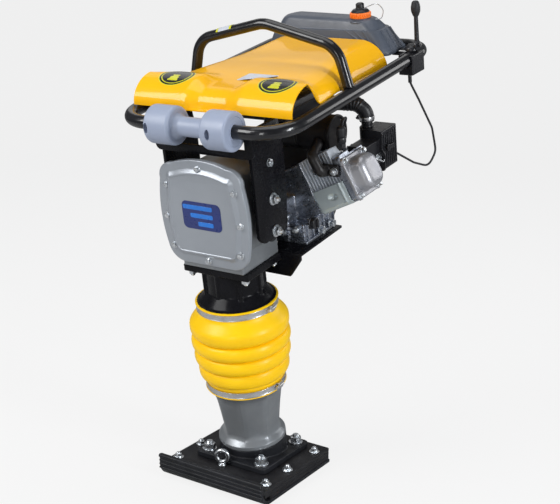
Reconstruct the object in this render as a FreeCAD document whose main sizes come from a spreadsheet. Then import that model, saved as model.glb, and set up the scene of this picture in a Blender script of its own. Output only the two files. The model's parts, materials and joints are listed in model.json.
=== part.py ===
"""Jumping jack rammer (tamping rammer), built as separate pieces.

The row frame has its origin on the ground under the shoe, +Z up and the front of
the machine towards -Y.  Only the shoe and its foot flange stand square to the
ground.  Everything above leans forward by leg_tilt, so it is modelled upright in a
leaning frame (x across, y rearward, z up the leg) and then placed with LEAN.
"""
import FreeCAD, Part
import math
import os
import re

import Sketcher
from FreeCAD import Placement, Rotation, Vector

DIMENSIONS = {
    # leaning frame
    "leg_tilt": 10.57, "leg_base_y": 9.41,
    # shoe, square to the ground
    "shoe_width": 285, "shoe_rear": 114, "shoe_flat_front": -142, "sole_thick": 8,
    "nose_radius": 36, "lip_top": 58, "block_top": 37, "block_gap": 0.5,
    "shoe_bolt_across": 123, "shoe_bolt_front": -132, "shoe_bolt_middle": -44,
    "shoe_bolt_back": 73, "shoe_bolt_head": 8.5, "shoe_bolt_high": 6,
    # foot flange and its studs
    "foot_y": -4, "foot_half": 97, "foot_top": 51, "foot_corner": 12, "stud_across": 73,
    "stud_radius": 8, "foot_nut": 14.5, "foot_nut_high": 13, "stud_rise": 21,
    "boss_radius": 79, "boss_top": 85, "cylinder_seat": 70,
    "eye_ring": 14, "eye_wire": 4.6, "eye_x": -12, "eye_y": -111, "eye_high": 61, "eye_collar": 7,
    # leg sleeve
    "sleeve_foot": 97, "sleeve_foot_flat": 122, "sleeve_head": 216, "sleeve_head_flat": 152,
    "sleeve_top": 236, "sleeve_lip": 91, "sleeve_lip_low": 224, "sleeve_lip_high": 229,
    "seat_radius": 86,
    # springs and piston rod inside the leg
    "bore": 58, "fit_gap": 0.05, "tube_wall": 6, "tube_top": 372, "cap_top": 380,
    "cap_plug": 12, "rod_radius": 12, "plate_low": 235, "plate_high": 245,
    "plate_radius": 51, "rod_nut": 19, "rod_nut_high": 12, "spring_wire": 5,
    "spring_radius": 43, "spring_turns": 6, "spring_gap": 1,
    # guide cylinder
    "guide_low": 250, "guide_wall": 10, "disc_low": 426, "disc_high": 446,
    "neck_radius": 64, "flange_low": 520, "case_floor": 537, "spigot_top": 556,
    "web_thick": 7, "web_reach": 71, "flange_depth": 66, "flange_half": 85,
    "lip_radius": 90, "lip_thick": 1.8, "hub_foot": 84, "hub_top": 468,
    "flange_nut": 9, "flange_nut_high": 8, "flange_nut_x": 71, "flange_nut_y": 54,
    # crosshead, connecting rod and crank
    "crank_height": 675, "throw": 28, "rod_length": 150, "trunk_inner": 50,
    "trunk_top": 559, "trunk_floor": 478, "trunk_low": 468, "wrist_radius": 8,
    "wrist_half": 25, "rod_half_thick": 11, "big_end": 22, "small_end": 15,
    "crank_pin": 12, "crank_pin_front": -13, "rod_width": 18,
    # gears
    "gear_pitch": 72, "gear_teeth": 48, "pinion_pitch": 18, "pinion_teeth": 12,
    "gear_front": 15, "gear_back": 37, "tooth_gap": 5.6, "gear_tip": 2.4, "pinion_tip": 2,
    "tooth_root": 3.5, "flank_slope": 0.364, "journal": 17, "journal_end": 60,
    "pinion_height": 585, "pinion_journal": 10,
    # crankcase, its cover and bearings
    "case_front": -70, "case_rear": 66, "case_inset": 14, "case_wall": 8,
    "case_back_wall": 40, "case_flange": 14, "cover_thick": 11,
    "panel_thick": 6.2, "ridge_thick": 0.8, "ridge_wide": 4, "slope_inset": 19, "panel_inset": 27,
    "ridge_inset": 30,
    "gear_bearing": 34, "pinion_bearing": 24, "bearing_front": 42, "bearing_back": 58,
    "case_box_half": 79, "screw_shank": 3, "screw_head": 5.8, "screw_head_high": 6,
    # bellows and clamps
    "bellows_low": 230, "bellows_high": 444, "bellows_wall": 7, "cuff_top": 247, "head_foot": 425,
    "fold_first": 276, "fold_pitch": 35, "fold_crest": 101, "fold_flare": 6, "fold_valley": 97,
    "fold_round": 16, "top_fold": 112, "top_fold_height": 388, "top_fold_round": 30, "collar": 90,
    "collar_gap": 0.1, "clamp_low": 232.5, "clamp_high": 426, "clamp_band": 14,
    "clamp_thick": 2,
    # side plates and rubber mounts
    "plate_inner": 108, "plate_thick": 8, "panel_plate": 7, "mount_y": 11, "mount_upper": 687,
    "mount_lower": 615, "mount_radius": 26, "mount_back": 84, "plate_bolt_top": 767,
    "mount_bolt": 11.5, "mount_bolt_high": 8, "plate_bolt": 9, "plate_bolt_high": 6,
    "washer": 15, "washer_thick": 3,
    # handle frame
    "tube_radius": 14.5, "loop_half": 208, "loop_front": -75, "loop_height": 858,
    "loop_length": 662, "loop_slope": 1.7, "front_bend": 78, "rear_bend": 66,
    "arch_y": 205, "arch_foot": 206, "arch_foot_height": 868, "arch_shoulder": 180,
    "arch_shoulder_height": 966, "arch_peak_height": 1009, "arch_tube": 12.5,
    "shoulder_bend": 58, "peak_bend": 75,
    # transport roller
    "roller_half": 102, "roller_collar": 41, "roller_middle": 20.5, "collar_inner": 40,
    "roller_round": 9,
    # hood
    "hood_half": 202, "tail_inset": 34, "hood_front": -20, "hood_rear": 446, "skirt_low": 878,
    "skirt_start": 170, "skirt_run": 120, "skirt_drop": 22, "panel_high": 913,
    "panel_slope": 0.02, "hump_high": 17,
    "hump_crest_y": 52, "hump_length": 75, "valley_half": 30, "valley_slope": 42,
    "valley_set_back": 12, "valley_crest_y": 33, "side_start": 45, "side_run": 50, "side_round": 70,
    "skin": 3,
    # engine
    "shaft_height": 585, "cylinder_rise": 64, "bell_front": 67, "bell_back": 112,
    "block_back": 243, "block_half": 78, "block_low": 540, "block_high": 640,
    "cylinder_y": 198, "cylinder_half": 50, "fin_thick": 2.2, "fin_pitch": 8,
    "fin_first": 139, "fin_count": 11, "head_start": 227, "head_end": 248, "cover_end": 290,
    "cover_flange": 8, "cover_half": 46, "cover_shift": -9, "cover_left": 47, "cover_right": 48,
    "cover_bolt_in": 7, "barrel_foot": 50, "casting_up": 72, "casting_down": 46,
    "casting_half": 46, "casting_foot": 40, "sump_left": 96, "sump_right": 118, "sump_high": 585,
    "muffler_y": 232, "muffler_height": 764, "muffler_radius": 43, "muffler_left": -20,
    "muffler_right": 152, "fan_back": 300, "fan_radius": 98, "flywheel_radius": 87,
    "crank_radius": 14, "engine_bore": 31, "barrel_radius": 40, "fin_up": 76, "fin_down": 40,
    "crank_front": 80, "crank_long": 212, "cheek_front": 140, "cheek_long": 70, "cheek_radius": 36,
    "port_up": 40, "port_out": 208, "exhaust_wide": 26, "exhaust_long": 64, "exhaust_turn": 25,
    "exhaust_stud": 23, "exhaust_nut": 7.5, "shroud_up": 4, "shroud_down": 50,
    "shroud_start": 140, "shroud_end": 232, "duct_up": 40, "duct_down": 58, "duct_end": 160,
    "fan_inlet": 80, "grip_left": 134, "grip_y": 317, "grip_height": 640, "grip_thick": 16,
    "grip_wide": 24, "grip_long": 70,
    # carburettor, intake, filter and spark plug
    "carb_left": 160, "carb_gap": 8, "carb_foot": 668, "carb_wide": 44, "carb_deep": 68,
    "carb_high": 60, "manifold_radius": 12, "manifold_x": 190, "manifold_height": 714,
    "bowl_radius": 21, "bowl_high": 34, "bowl_y": 285, "choke_left": 157, "choke_wide": 54,
    "choke_deep": 70, "choke_high": 92, "choke_foot": 654, "neck_x": 158, "neck_y": 352,
    "neck_foot": 744, "neck_pipe": 13, "neck_boss": 18, "elbow_high": 804, "elbow_bend": 26,
    "elbow_radius": 17, "filter_left": 60, "filter_front": 135, "filter_foot": 812,
    "filter_wide": 150, "filter_deep": 162, "filter_high": 46, "choke_x": 211.2,
    "choke_y": 335, "choke_height": 705, "plug_x": 188, "plug_foot": 750, "plug_radius": 8,
    "boot_radius": 11, "boot_long": 38,
    # fuel tank, its filler cap and tap
    "tank_foot": 884, "tank_crown": 962, "tank_half": 168, "tank_front": 448, "tank_rear": 548,
    "crown_right": 116, "crown_left": 130, "crown_front": 458, "crown_rear": 526,
    "filler": 25, "filler_knob": 10, "filler_high": 36, "filler_x": 80, "filler_y": 488,
    "tap_x": 120, "tap_y": 470, "tap_stem": 8,
    # engine bracket
    "deck_left": 96, "deck_right": 137, "deck_front": 68, "deck_thick": 6, "gusset_half": 103,
    "gusset_left": 60, "gusset_low": 480, "gusset_shoulder": 522, "gusset_thick": 8,
    # controls on the right-hand tube
    "lever_x": 205, "lever_y": 499, "lever_height": 901, "lever_length": 100,
    "switch_radius": 9, "switch_long": 10, "switch_height": 851, "switch_travel": 3,
    "mount_wide": 36, "mount_long": 60, "mount_high": 46, "mount_foot": 840, "clear_long": 400,
}

ALIAS = re.compile("[a-z][a-z_]+")
DIRECTIONS = {
    "up": (Rotation(), 2, "+"),
    "front": (Rotation(Vector(1, 0, 0), 90), 1, "-"),
    "rear": (Rotation(Vector(1, 0, 0), -90), 1, "+"),
    "right": (Rotation(Vector(0, 1, 0), 90), 0, "+"),
    "left": (Rotation(Vector(0, 1, 0), -90), 0, "-"),
    "sideways": (Rotation(Vector(1, 1, 1), 120), 0, "+"),
}
PIECES = []

doc = FreeCAD.newDocument("JumpingJackRammer")
sheet = doc.addObject("Spreadsheet::Sheet", "Sheet")
for row, (alias, size) in enumerate(DIMENSIONS.items(), start=1):
    cell = "A%d" % row
    sheet.set(cell, str(size))
    sheet.setAlias(cell, alias)
doc.recompute()


# ---------------------------------------------------------------- helpers

def expression(text):
    """Turn plain aliases into references to the sheet."""
    def full_name(word):
        alias = word.group()
        return "Sheet." + alias if alias in DIMENSIONS else alias
    return ALIAS.sub(full_name, text)


def number(text):
    """Value of an expression of aliases, from the sheet."""
    return float(sheet.evalExpression(text))


def bind(item, **sizes):
    """Bind properties of an object to expressions of the sheet."""
    for name, text in sizes.items():
        item.setExpression(name, expression(text))
    return item


def place(item, x="0", y="0", z="0", way="up"):
    """Aim a primitive's own Z along a way and bind its position to the sheet."""
    item.Placement = Placement(Vector(), DIRECTIONS[way][0])
    for letter, text in zip("xyz", (x, y, z)):
        item.setExpression("Placement.Base." + letter, expression(text))
    return item


def moved(spot, way, distance):
    """The spot (three expressions) moved along a way."""
    axis, sign = DIRECTIONS[way][1:]
    spot = list(spot)
    spot[axis] = "%s %s (%s)" % (spot[axis], sign, distance)
    return spot


def box(name, length, width, height, x, y, z):
    item = doc.addObject("Part::Box", name)
    return place(bind(item, Length=length, Width=width, Height=height), x, y, z)


def cylinder(name, radius, height, x="0", y="0", z="0", way="up"):
    item = doc.addObject("Part::Cylinder", name)
    return place(bind(item, Radius=radius, Height=height), x, y, z, way)


def bar(name, radius, height):
    """A round bar along its own Z, placed later."""
    return bind(doc.addObject("Part::Cylinder", name), Radius=radius, Height=height)


def block(name, length, width, height):
    """A rectangular block from its own corner, placed later."""
    return bind(doc.addObject("Part::Box", name), Length=length, Width=width, Height=height)


def hexagon(name, radius, height, x, y, z, way="up"):
    item = doc.addObject("Part::Prism", name)
    item.Polygon = 6
    return place(bind(item, Circumradius=radius, Height=height), x, y, z, way)


def torus(name, ring, wire, x, y, z, way="up"):
    item = doc.addObject("Part::Torus", name)
    return place(bind(item, Radius1=ring, Radius2=wire), x, y, z, way)


def fuse(name, *items):
    item = doc.addObject("Part::MultiFuse", name)
    item.Shapes = list(items)
    return item


def cut(name, base, tool):
    item = doc.addObject("Part::Cut", name)
    item.Base, item.Tool = base, tool
    return item


def centre_line(end, start, radius, side):
    """Centre, start angle and end angle (counter-clockwise) of the minor arc between two points."""
    chord = end.sub(start)
    across = Vector(-chord.y, chord.x, 0).normalize()
    reach = math.sqrt(radius ** 2 - (chord.Length / 2) ** 2)
    centre = start.add(end).multiply(0.5).add(across.multiply(side * reach))
    first, last = (start, end) if side > 0 else (end, start)
    angles = [math.atan2(point.y - centre.y, point.x - centre.x) for point in (first, last)]
    if angles[1] < angles[0]:
        angles[1] += 2 * math.pi
    return centre, angles


def draw_outline(sketch, corners, closed=True):
    """Draw an outline; a corner is (x, y), or (x, y, radius, side) when an arc arrives at it.

    side is +1 for an arc that turns counter-clockwise and -1 for clockwise.
    """
    points = [Vector(number(corner[0]), number(corner[1]), 0) for corner in corners]
    segments = []
    for index in range(0 if closed else 1, len(corners)):
        corner, start, end = corners[index], points[index - 1], points[index]
        if len(corner) == 2:
            segments.append((sketch.addGeometry(Part.LineSegment(start, end), False), 1, 2, index))
            continue
        centre, angles = centre_line(end, start, number(corner[2]), corner[3])
        circle = Part.Circle(centre, Vector(0, 0, 1), number(corner[2]))
        arc = sketch.addGeometry(Part.ArcOfCircle(circle, *angles), False)
        sketch.addConstraint(Sketcher.Constraint("Radius", arc, number(corner[2])))
        bind_last(sketch, corner[2])
        segments.append((arc, 1, 2, index) if corner[3] > 0 else (arc, 2, 1, index))
    for order, (segment, start, end, index) in enumerate(segments):
        pin_point(sketch, segment, end, corners[index])
        if closed or order + 1 < len(segments):
            following = segments[(order + 1) % len(segments)]
            sketch.addConstraint(
                Sketcher.Constraint("Coincident", segment, end, following[0], following[1]))
    if not closed:
        pin_point(sketch, segments[0][0], segments[0][1], corners[0])


def bind_last(sketch, text):
    sketch.setExpression("Constraints[%d]" % (sketch.ConstraintCount - 1), expression(text))


def pin_point(sketch, geometry, end, corner):
    """Bind the place of one end of a sketch line to the sheet."""
    for kind, text in zip(("DistanceX", "DistanceY"), corner):
        sketch.addConstraint(Sketcher.Constraint(kind, geometry, end, number(text)))
        bind_last(sketch, text)


def draw_circle(sketch, x, y, radius):
    circle = Part.Circle(Vector(number(x), number(y), 0), Vector(0, 0, 1), number(radius))
    ring = sketch.addGeometry(circle, False)
    sketch.addConstraint(Sketcher.Constraint("Radius", ring, number(radius)))
    bind_last(sketch, radius)
    pin_point(sketch, ring, 3, (x, y))


def new_body(name):
    body = doc.addObject("PartDesign::Body", name)
    return body


def new_sketch(body, name, role="XY_Plane", offset="0"):
    """A sketch on one of the body's own origin planes, raised by offset."""
    sketch = body.newObject("Sketcher::SketchObject", name)
    plane = next(feature for feature in body.Origin.OriginFeatures if feature.Role == role)
    sketch.AttachmentSupport = [(plane, "")]
    sketch.MapMode = "FlatFace"
    sketch.setExpression("AttachmentOffset.Base.z", expression(offset))
    return sketch


def pad(body, sketch, length, symmetric=False):
    feature = body.newObject("PartDesign::Pad", body.Name + "_pad")
    feature.Profile = sketch
    bind(feature, Length=length)
    if symmetric:
        feature.SideType = "Symmetric"
    return feature


def plate(name, outline, thick, holes=(), symmetric=False, role="XY_Plane"):
    """A flat plate: an outline with round holes, padded to its thickness."""
    body = new_body(name)
    sketch = new_sketch(body, name + "_outline", role)
    draw_outline(sketch, outline)
    for hole in holes:
        draw_circle(sketch, *hole)
    pad(body, sketch, thick, symmetric)
    return body


def turned(name, profile):
    """A turned part: a profile of (radius, height) revolved about the body's own Z."""
    body = new_body(name)
    sketch = new_sketch(body, name + "_profile", "XZ_Plane")
    draw_outline(sketch, profile)
    feature = body.newObject("PartDesign::Revolution", name + "_turn")
    feature.Profile = sketch
    feature.ReferenceAxis = (sketch, ["V_Axis"])
    feature.Angle = 360
    return body


def ring(name, inner, outer, low, high):
    """A plain turned ring."""
    return turned(name, [(inner, low), (outer, low), (outer, high), (inner, high)])


def path_wire(points, bend):
    """A wire through the points with every inner corner rounded by bend."""
    edges, start = [], points[0]
    for before, corner, after in zip(points, points[1:], points[2:]):
        back, ahead = before.sub(corner).normalize(), after.sub(corner).normalize()
        half = back.getAngle(ahead) / 2
        room = min(before.distanceToPoint(corner), after.distanceToPoint(corner))
        run = min(bend / math.tan(half), 0.49 * room)
        entry, leave = corner.add(back.multiply(run)), corner.add(ahead.multiply(run))
        radius = run * math.tan(half)
        middle = entry.add(leave).multiply(0.5).sub(corner).normalize()
        middle = corner.add(middle.multiply(radius / math.sin(half) - radius))
        edges.append(Part.LineSegment(start, entry).toShape())
        edges.append(Part.Arc(entry, middle, leave).toShape())
        start = leave
    edges.append(Part.LineSegment(start, points[-1]).toShape())
    return Part.Wire(edges)


def hose_shape(points, bend, radius):
    """A round bar swept along a bent path, for the cables and hoses that run free in space."""
    wire = path_wire([Vector(*point) for point in points], bend)
    start = wire.Edges[0]
    heading = start.tangentAt(start.FirstParameter)
    section = Part.Wire([Part.makeCircle(radius, start.Vertexes[0].Point, heading)])
    return wire.makePipeShell([section], True, True)


def free_piece(name, shape, placement):
    """A piece whose shape comes from Part's own functions."""
    item = doc.addObject("Part::Feature", name)
    item.Shape = shape
    return keep(item, placement)


def keep(piece, placement):
    """Give a finished sub-part its place and list it for export."""
    piece.Placement = placement
    PIECES.append(piece)
    return piece


def spot(x="0", y="0", z="0", way="up"):
    """A placement in the leaning frame."""
    base = Vector(number(x), number(y), number(z))
    return LEAN.multiply(Placement(base, DIRECTIONS[way][0]))


def leaning_cylinder(name, radius, height, low):
    """A cylinder on the leg axis, already leaning, for pieces that join square and leaning shapes."""
    item = bind(doc.addObject("Part::Cylinder", name), Radius=radius, Height=height)
    item.Placement = spot(z=low)
    return item


def bolt(name, place_at, way, head, head_high, shank, length):
    """A hexagon-headed bolt whose head sits on place_at and faces along way."""
    cap = hexagon(name + "_head", head, head_high, *place_at, way)
    stem = cylinder(name + "_shank", shank, length, *moved(place_at, way, "0 - (%s)" % length), way)
    return fuse(name, cap, stem)


SQUARE = Placement()
LEAN = Placement(Vector(0, number("leg_base_y"), 0), Rotation(Vector(1, 0, 0), number("leg_tilt")))
ENGINE = LEAN.multiply(Placement(
    Vector(0, number("cylinder_y"), number("shaft_height")),
    Rotation(Vector(0, 1, 0), number("cylinder_rise"))))


# ---------------------------------------------------------------- shoe and foot

def make_shoe():
    inner = "nose_radius - sole_thick"
    front = "shoe_flat_front - nose_radius"
    profile = [
        ("shoe_rear", "0"), ("shoe_flat_front", "0"),
        (front, "nose_radius", "nose_radius", -1), (front, "lip_top"),
        (front + " + sole_thick", "lip_top"), (front + " + sole_thick", "nose_radius"),
        ("shoe_flat_front", "sole_thick", inner, 1), ("shoe_rear", "sole_thick"),
    ]
    keep(plate("steel_shoe", profile, "shoe_width", symmetric=True, role="YZ_Plane"), SQUARE)
    gap = " + block_gap"
    inner_front = front + " + sole_thick + block_gap"
    block = [
        ("shoe_rear", "sole_thick"), ("shoe_rear", "block_top"), (inner_front, "block_top"),
        (inner_front, "nose_radius"),
        ("shoe_flat_front" + gap, "sole_thick", inner, 1),
    ]
    body = plate("shoe_block", block, "shoe_width", symmetric=True, role="YZ_Plane")
    keep(body, SQUARE)
    bolts = []
    for side in ("", "-"):
        for row_name in ("front", "middle", "back"):
            seat = ("%sshoe_bolt_across" % side, "shoe_bolt_" + row_name, "block_top")
            bolts.append(hexagon("shoe_bolt", "shoe_bolt_head", "shoe_bolt_high", *seat))
    keep(fuse("shoe_bolts", *bolts), SQUARE)


def make_foot():
    half, corner = "foot_half", "foot_corner"
    left, right = "-foot_half", "foot_half"
    low, high = "foot_y - foot_half", "foot_y + foot_half"
    outline = [
        (left + " + " + corner, low), (right + " - " + corner, low),
        (right, low + " + " + corner, corner, 1), (right, high + " - " + corner),
        (right + " - " + corner, high, corner, 1), (left + " + " + corner, high),
        (left, high + " - " + corner, corner, 1), (left, low + " + " + corner),
        (left + " + " + corner, low, corner, 1),
    ][1:]
    flange = plate("foot_flange", outline, "foot_top - block_top")
    flange.Placement = Placement(Vector(0, 0, number("block_top")), Rotation())
    boss = leaning_cylinder("foot_boss", "boss_radius", "boss_top - 20", "20")
    ground = box("foot_trim", "400", "400", "block_top + 100", "-200", "-200", "-100")
    whole = fuse("foot_solid", flange, cut("foot_boss_trimmed", boss, ground))
    pocket = leaning_cylinder("foot_pocket", "bore + fit_gap", "60", "cylinder_seat")
    keep(cut("foot_casting", whole, pocket), SQUARE)
    studs = []
    for x in ("-stud_across", "stud_across"):
        for y in ("foot_y - stud_across", "foot_y + stud_across"):
            studs.append(hexagon("foot_nut", "foot_nut", "foot_nut_high", x, y, "foot_top"))
            studs.append(cylinder("foot_stud", "stud_radius", "stud_rise", x, y, "foot_top"))
    keep(fuse("foot_nuts", *studs), SQUARE)


def make_eye_bolt():
    collar = cylinder("eye_seat", "2 * eye_wire", "eye_collar", "eye_x", "eye_y", "block_top")
    eye = torus("eye_torus", "eye_ring", "eye_wire", "eye_x", "eye_y", "eye_high", "front")
    keep(fuse("lifting_eye_bolt", collar, eye), SQUARE)


def octagon(flat):
    """Corners of an octagon with flats facing across and along, from its flat-to-flat size."""
    half = "(%s) / 2" % flat
    side = "(%s) * 0.2071" % flat
    signs = [("", "-", 1), ("", "", 1), ("", "", 0), ("-", "", 0),
             ("-", "", 1), ("-", "-", 1), ("-", "-", 0), ("", "-", 0)]
    return [("%s%s" % (first, half if wide else side), "%s%s" % (second, side if wide else half))
            for first, second, wide in signs]


def make_leg():
    body = new_body("leg_cone")
    low = new_sketch(body, "leg_low", offset="sleeve_foot")
    draw_outline(low, octagon("sleeve_foot_flat"))
    high = new_sketch(body, "leg_high", offset="sleeve_head")
    draw_outline(high, octagon("sleeve_head_flat"))
    loft = body.newObject("PartDesign::AdditiveLoft", "leg_loft")
    loft.Profile = low
    loft.Sections = [high]
    inner = "bore + fit_gap"
    foot = ring("leg_foot", inner, "boss_radius", "boss_top", "sleeve_foot")
    head = turned("leg_head", [
        (inner, "sleeve_head - 4"), ("sleeve_head_flat / 2", "sleeve_head - 4"),
        ("sleeve_lip", "sleeve_lip_low"), ("sleeve_lip", "sleeve_lip_high"),
        ("seat_radius", "sleeve_lip_high"), ("seat_radius", "sleeve_top"), (inner, "sleeve_top")])
    bore = cylinder("leg_bore", inner, "200", z="sleeve_foot - 5")
    keep(cut("leg_sleeve", fuse("leg_solid", body, foot, head), bore), LEAN)


def make_springs():
    inner = "bore - tube_wall"
    keep(turned("spring_cylinder", [
        ("0", "cylinder_seat"), ("bore", "cylinder_seat"), ("bore", "tube_top"),
        (inner, "tube_top"), (inner, "cylinder_seat + 12"), ("0", "cylinder_seat + 12")]), LEAN)
    rod_hole = "rod_radius + fit_gap"
    keep(turned("spring_cylinder_cap", [
        (rod_hole, "tube_top - cap_plug"), (inner, "tube_top - cap_plug"), (inner, "tube_top"),
        ("bore", "tube_top"), ("bore", "cap_top"), (rod_hole, "cap_top")]), LEAN)
    keep(turned("piston_rod", [
        ("0", "plate_low - rod_nut_high"), ("rod_nut", "plate_low - rod_nut_high"),
        ("rod_nut", "plate_low"), ("plate_radius", "plate_low"), ("plate_radius", "plate_high"),
        ("rod_radius", "plate_high"), ("rod_radius", "trunk_low"), ("0", "trunk_low")]), LEAN)
    spans = {
        "lower_spring": ("cylinder_seat + 12 + spring_gap", "plate_low - spring_gap"),
        "upper_spring": ("plate_high + spring_gap", "tube_top - cap_plug - spring_gap"),
    }
    for name, (low, high) in spans.items():
        wire = number("spring_wire")
        rise = number("(%s) - (%s)" % (high, low)) - 2 * wire
        coil = Part.makeHelix(rise / number("spring_turns"), rise, number("spring_radius"))
        start = Vector(number("spring_radius"), 0, 0)
        section = Part.Wire([Part.makeCircle(wire, start, Vector(0, 1, 0))])
        shape = Part.Wire(coil.Edges).makePipeShell([section], True, True)
        free_piece(name, shape, spot(z="%s + spring_wire" % low))


def make_guide():
    inner, outer = "bore + fit_gap", "bore + guide_wall"
    barrel = turned("guide_barrel", [
        (inner, "guide_low"), (outer, "guide_low"), (outer, "disc_low"), ("seat_radius", "disc_low"),
        ("seat_radius", "disc_high - lip_thick"), ("lip_radius", "disc_high - lip_thick"),
        ("lip_radius", "disc_high"), ("hub_foot", "disc_high"), ("neck_radius", "hub_top"),
        ("neck_radius", "spigot_top - 4"),
        ("neck_radius - 3", "spigot_top"), (inner, "spigot_top")])
    parts = [barrel]
    top = box("guide_flange", "2 * flange_half", "2 * flange_depth", "case_floor - flange_low",
              "-flange_half", "-flange_depth", "flange_low")
    parts.append(top)
    for angle, reach in ((0, "web_reach"), (45, "web_reach"), (90, "flange_depth"), (135, "web_reach")):
        web = block("guide_web", "2 * " + reach, "web_thick", "flange_low - disc_high")
        corner = Vector(-number(reach), -number("web_thick / 2"), number("disc_high"))
        web.Placement = Placement(Vector(), Rotation(Vector(0, 0, 1), angle)).multiply(
            Placement(corner, Rotation()))
        parts.append(web)
    bore = cylinder("guide_bore", inner, "400", z="guide_low - 10")
    keep(cut("guide_cylinder", fuse("guide_solid", *parts), bore), LEAN)


def fold_profile(drop):
    """The bellows' three lower folds from the bottom up, each a little wider, drop further in."""
    points = []
    for fold in range(3):
        crest = "fold_first + %d * fold_pitch" % fold
        widest = "fold_crest + %d * fold_flare - %d - %s" % (fold, fold * (fold - 1), drop)
        narrowest = "fold_valley + %d - %s" % (4 * fold, drop)
        points.append((widest, crest))
        points.append((narrowest, "%s + fold_pitch / 2" % crest))
    return points


def make_bellows():
    """Closed rubber sleeve of four round folds, clear of the guide inside it."""
    seat = "seat_radius + collar_gap"
    outer = [(radius, height, "fold_round", 1) for radius, height in fold_profile("0")]
    inner = [(radius, height) for radius, height in reversed(fold_profile("bellows_wall"))]
    profile = [(seat, "bellows_low"), ("collar", "bellows_low"), ("collar", "cuff_top"),
               ("fold_valley - 4", "fold_first - fold_pitch / 2")]
    profile += outer
    profile += [("top_fold", "top_fold_height", "top_fold_round", 1), ("collar + 4", "head_foot - 4"),
                ("collar", "head_foot"), ("collar", "bellows_high"), (seat, "bellows_high"),
                (seat, "head_foot"), ("top_fold - bellows_wall", "top_fold_height")]
    profile += inner
    profile.append((seat, "cuff_top - 1"))
    keep(turned("bellows", profile), LEAN)
    for name, low in (("lower_clamp", "clamp_low"), ("upper_clamp", "clamp_high")):
        band = ring(name + "_band", "collar + collar_gap", "collar + clamp_thick", low, low + " + clamp_band")
        ear = box(name + "_ear", "8", "14", "clamp_band", "collar + clamp_thick - 1", "-7", low)
        keep(fuse(name, band, ear), LEAN)


# ---------------------------------------------------------------- crosshead, rod, crank and gears

def make_crosshead():
    keep(turned("crosshead", [
        ("0", "trunk_low"), ("bore", "trunk_low"), ("bore", "trunk_top"),
        ("trunk_inner", "trunk_top"), ("trunk_inner", "trunk_floor"), ("0", "trunk_floor")]), LEAN)


def make_rod():
    pin_high, pin_low = "crank_height + throw", "crank_height + throw - rod_length"
    front = "-rod_half_thick"
    big = cylinder("rod_big_end", "big_end", "2 * rod_half_thick", "0", front, pin_high, "rear")
    small = cylinder("rod_small_end", "small_end", "2 * rod_half_thick", "0", front, pin_low, "rear")
    shank = box("rod_shank", "rod_width", "2 * rod_half_thick - 8", "rod_length",
                "-rod_width / 2", front + " + 4", pin_low)
    big_hole = cylinder("rod_big_hole", "crank_pin + fit_gap", "60", "0", "-30", pin_high, "rear")
    small_hole = cylinder("rod_small_hole", "wrist_radius", "60", "0", "-30", pin_low, "rear")
    holes = fuse("rod_holes", big_hole, small_hole)
    keep(cut("connecting_rod", fuse("rod_solid", big, small, shank), holes), LEAN)
    keep(bar("wrist_pin", "wrist_radius", "2 * wrist_half"), spot("0", "-wrist_half", pin_low, "rear"))


def tooth_gap(pitch, tip):
    """Outline of the gap between two teeth, centred on the local X axis."""
    inner, outer = "%s - tooth_root" % pitch, "%s + %s + 1" % (pitch, tip)
    narrow = "tooth_gap / 2 - tooth_root * flank_slope"
    wide = "tooth_gap / 2 + (%s + 1) * flank_slope" % tip
    return [(inner, "-(%s)" % narrow), (outer, "-(%s)" % wide), (outer, wide), (inner, narrow)]


def toothed_wheel(name, pitch, tip, teeth, thick, phase):
    """A spur wheel: a disc with one tooth gap cut and repeated round it."""
    body = new_body(name)
    blank = new_sketch(body, name + "_blank")
    draw_circle(blank, "0", "0", "%s + %s" % (pitch, tip))
    pad(body, blank, thick)
    gap = new_sketch(body, name + "_gap")
    draw_outline(gap, tooth_gap(pitch, tip))
    pocket = body.newObject("PartDesign::Pocket", name + "_cut")
    pocket.Profile = gap
    pocket.Reversed = True
    bind(pocket, Length=thick)
    pattern = body.newObject("PartDesign::PolarPattern", name + "_teeth")
    pattern.Originals = [pocket]
    pattern.Axis = (gap, ["N_Axis"])
    pattern.Angle = 360
    pattern.Occurrences = int(number(teeth))
    body.Tip = pattern
    body.Placement = Placement(Vector(), Rotation(Vector(0, 0, 1), phase))
    return body


def make_gears():
    thick = "gear_back - gear_front"
    wheel = toothed_wheel("gear_wheel", "gear_pitch", "gear_tip", "gear_teeth", thick,
                          180 / number("gear_teeth"))
    journal = cylinder("gear_journal", "journal", "journal_end - gear_back + 2", z=thick + " - 2")
    pin = cylinder("crank_pin_bar", "crank_pin", "gear_front - crank_pin_front + 2", "0", "0 - throw",
                   "crank_pin_front - gear_front")
    keep(fuse("crank_gear", wheel, journal, pin), spot("0", "gear_front", "crank_height", "rear"))
    pinion = toothed_wheel("pinion_wheel", "pinion_pitch", "pinion_tip", "pinion_teeth", thick, 0)
    shaft = cylinder("pinion_shaft_bar", "pinion_journal", "bell_front + 10 - gear_back", z=thick + " - 2")
    drum = turned("clutch_drum", [
        ("0", "0"), ("52", "0"), ("52", "32"), ("48", "32"), ("48", "4"), ("0", "4")])
    drum.Placement = Placement(Vector(0, 0, number("bell_front + 6 - gear_front")), Rotation())
    keep(fuse("pinion_shaft", pinion, shaft, drum), spot("0", "gear_front", "pinion_height", "rear"))
    rings = []
    sizes = (("crank_bearing", "journal", "gear_bearing", "crank_height"),
             ("pinion_bearing", "pinion_journal", "pinion_bearing", "pinion_height"))
    for name, bore, outer, height in sizes:
        bearing = ring(name, bore + " + fit_gap", outer, "0", "bearing_back - bearing_front")
        seat = Vector(0, number("bearing_front"), number(height))
        bearing.Placement = Placement(seat, DIRECTIONS["rear"][0])
        rings.append(bearing)
    keep(fuse("shaft_bearings", *rings), LEAN)


# ---------------------------------------------------------------- crankcase and cover

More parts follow.
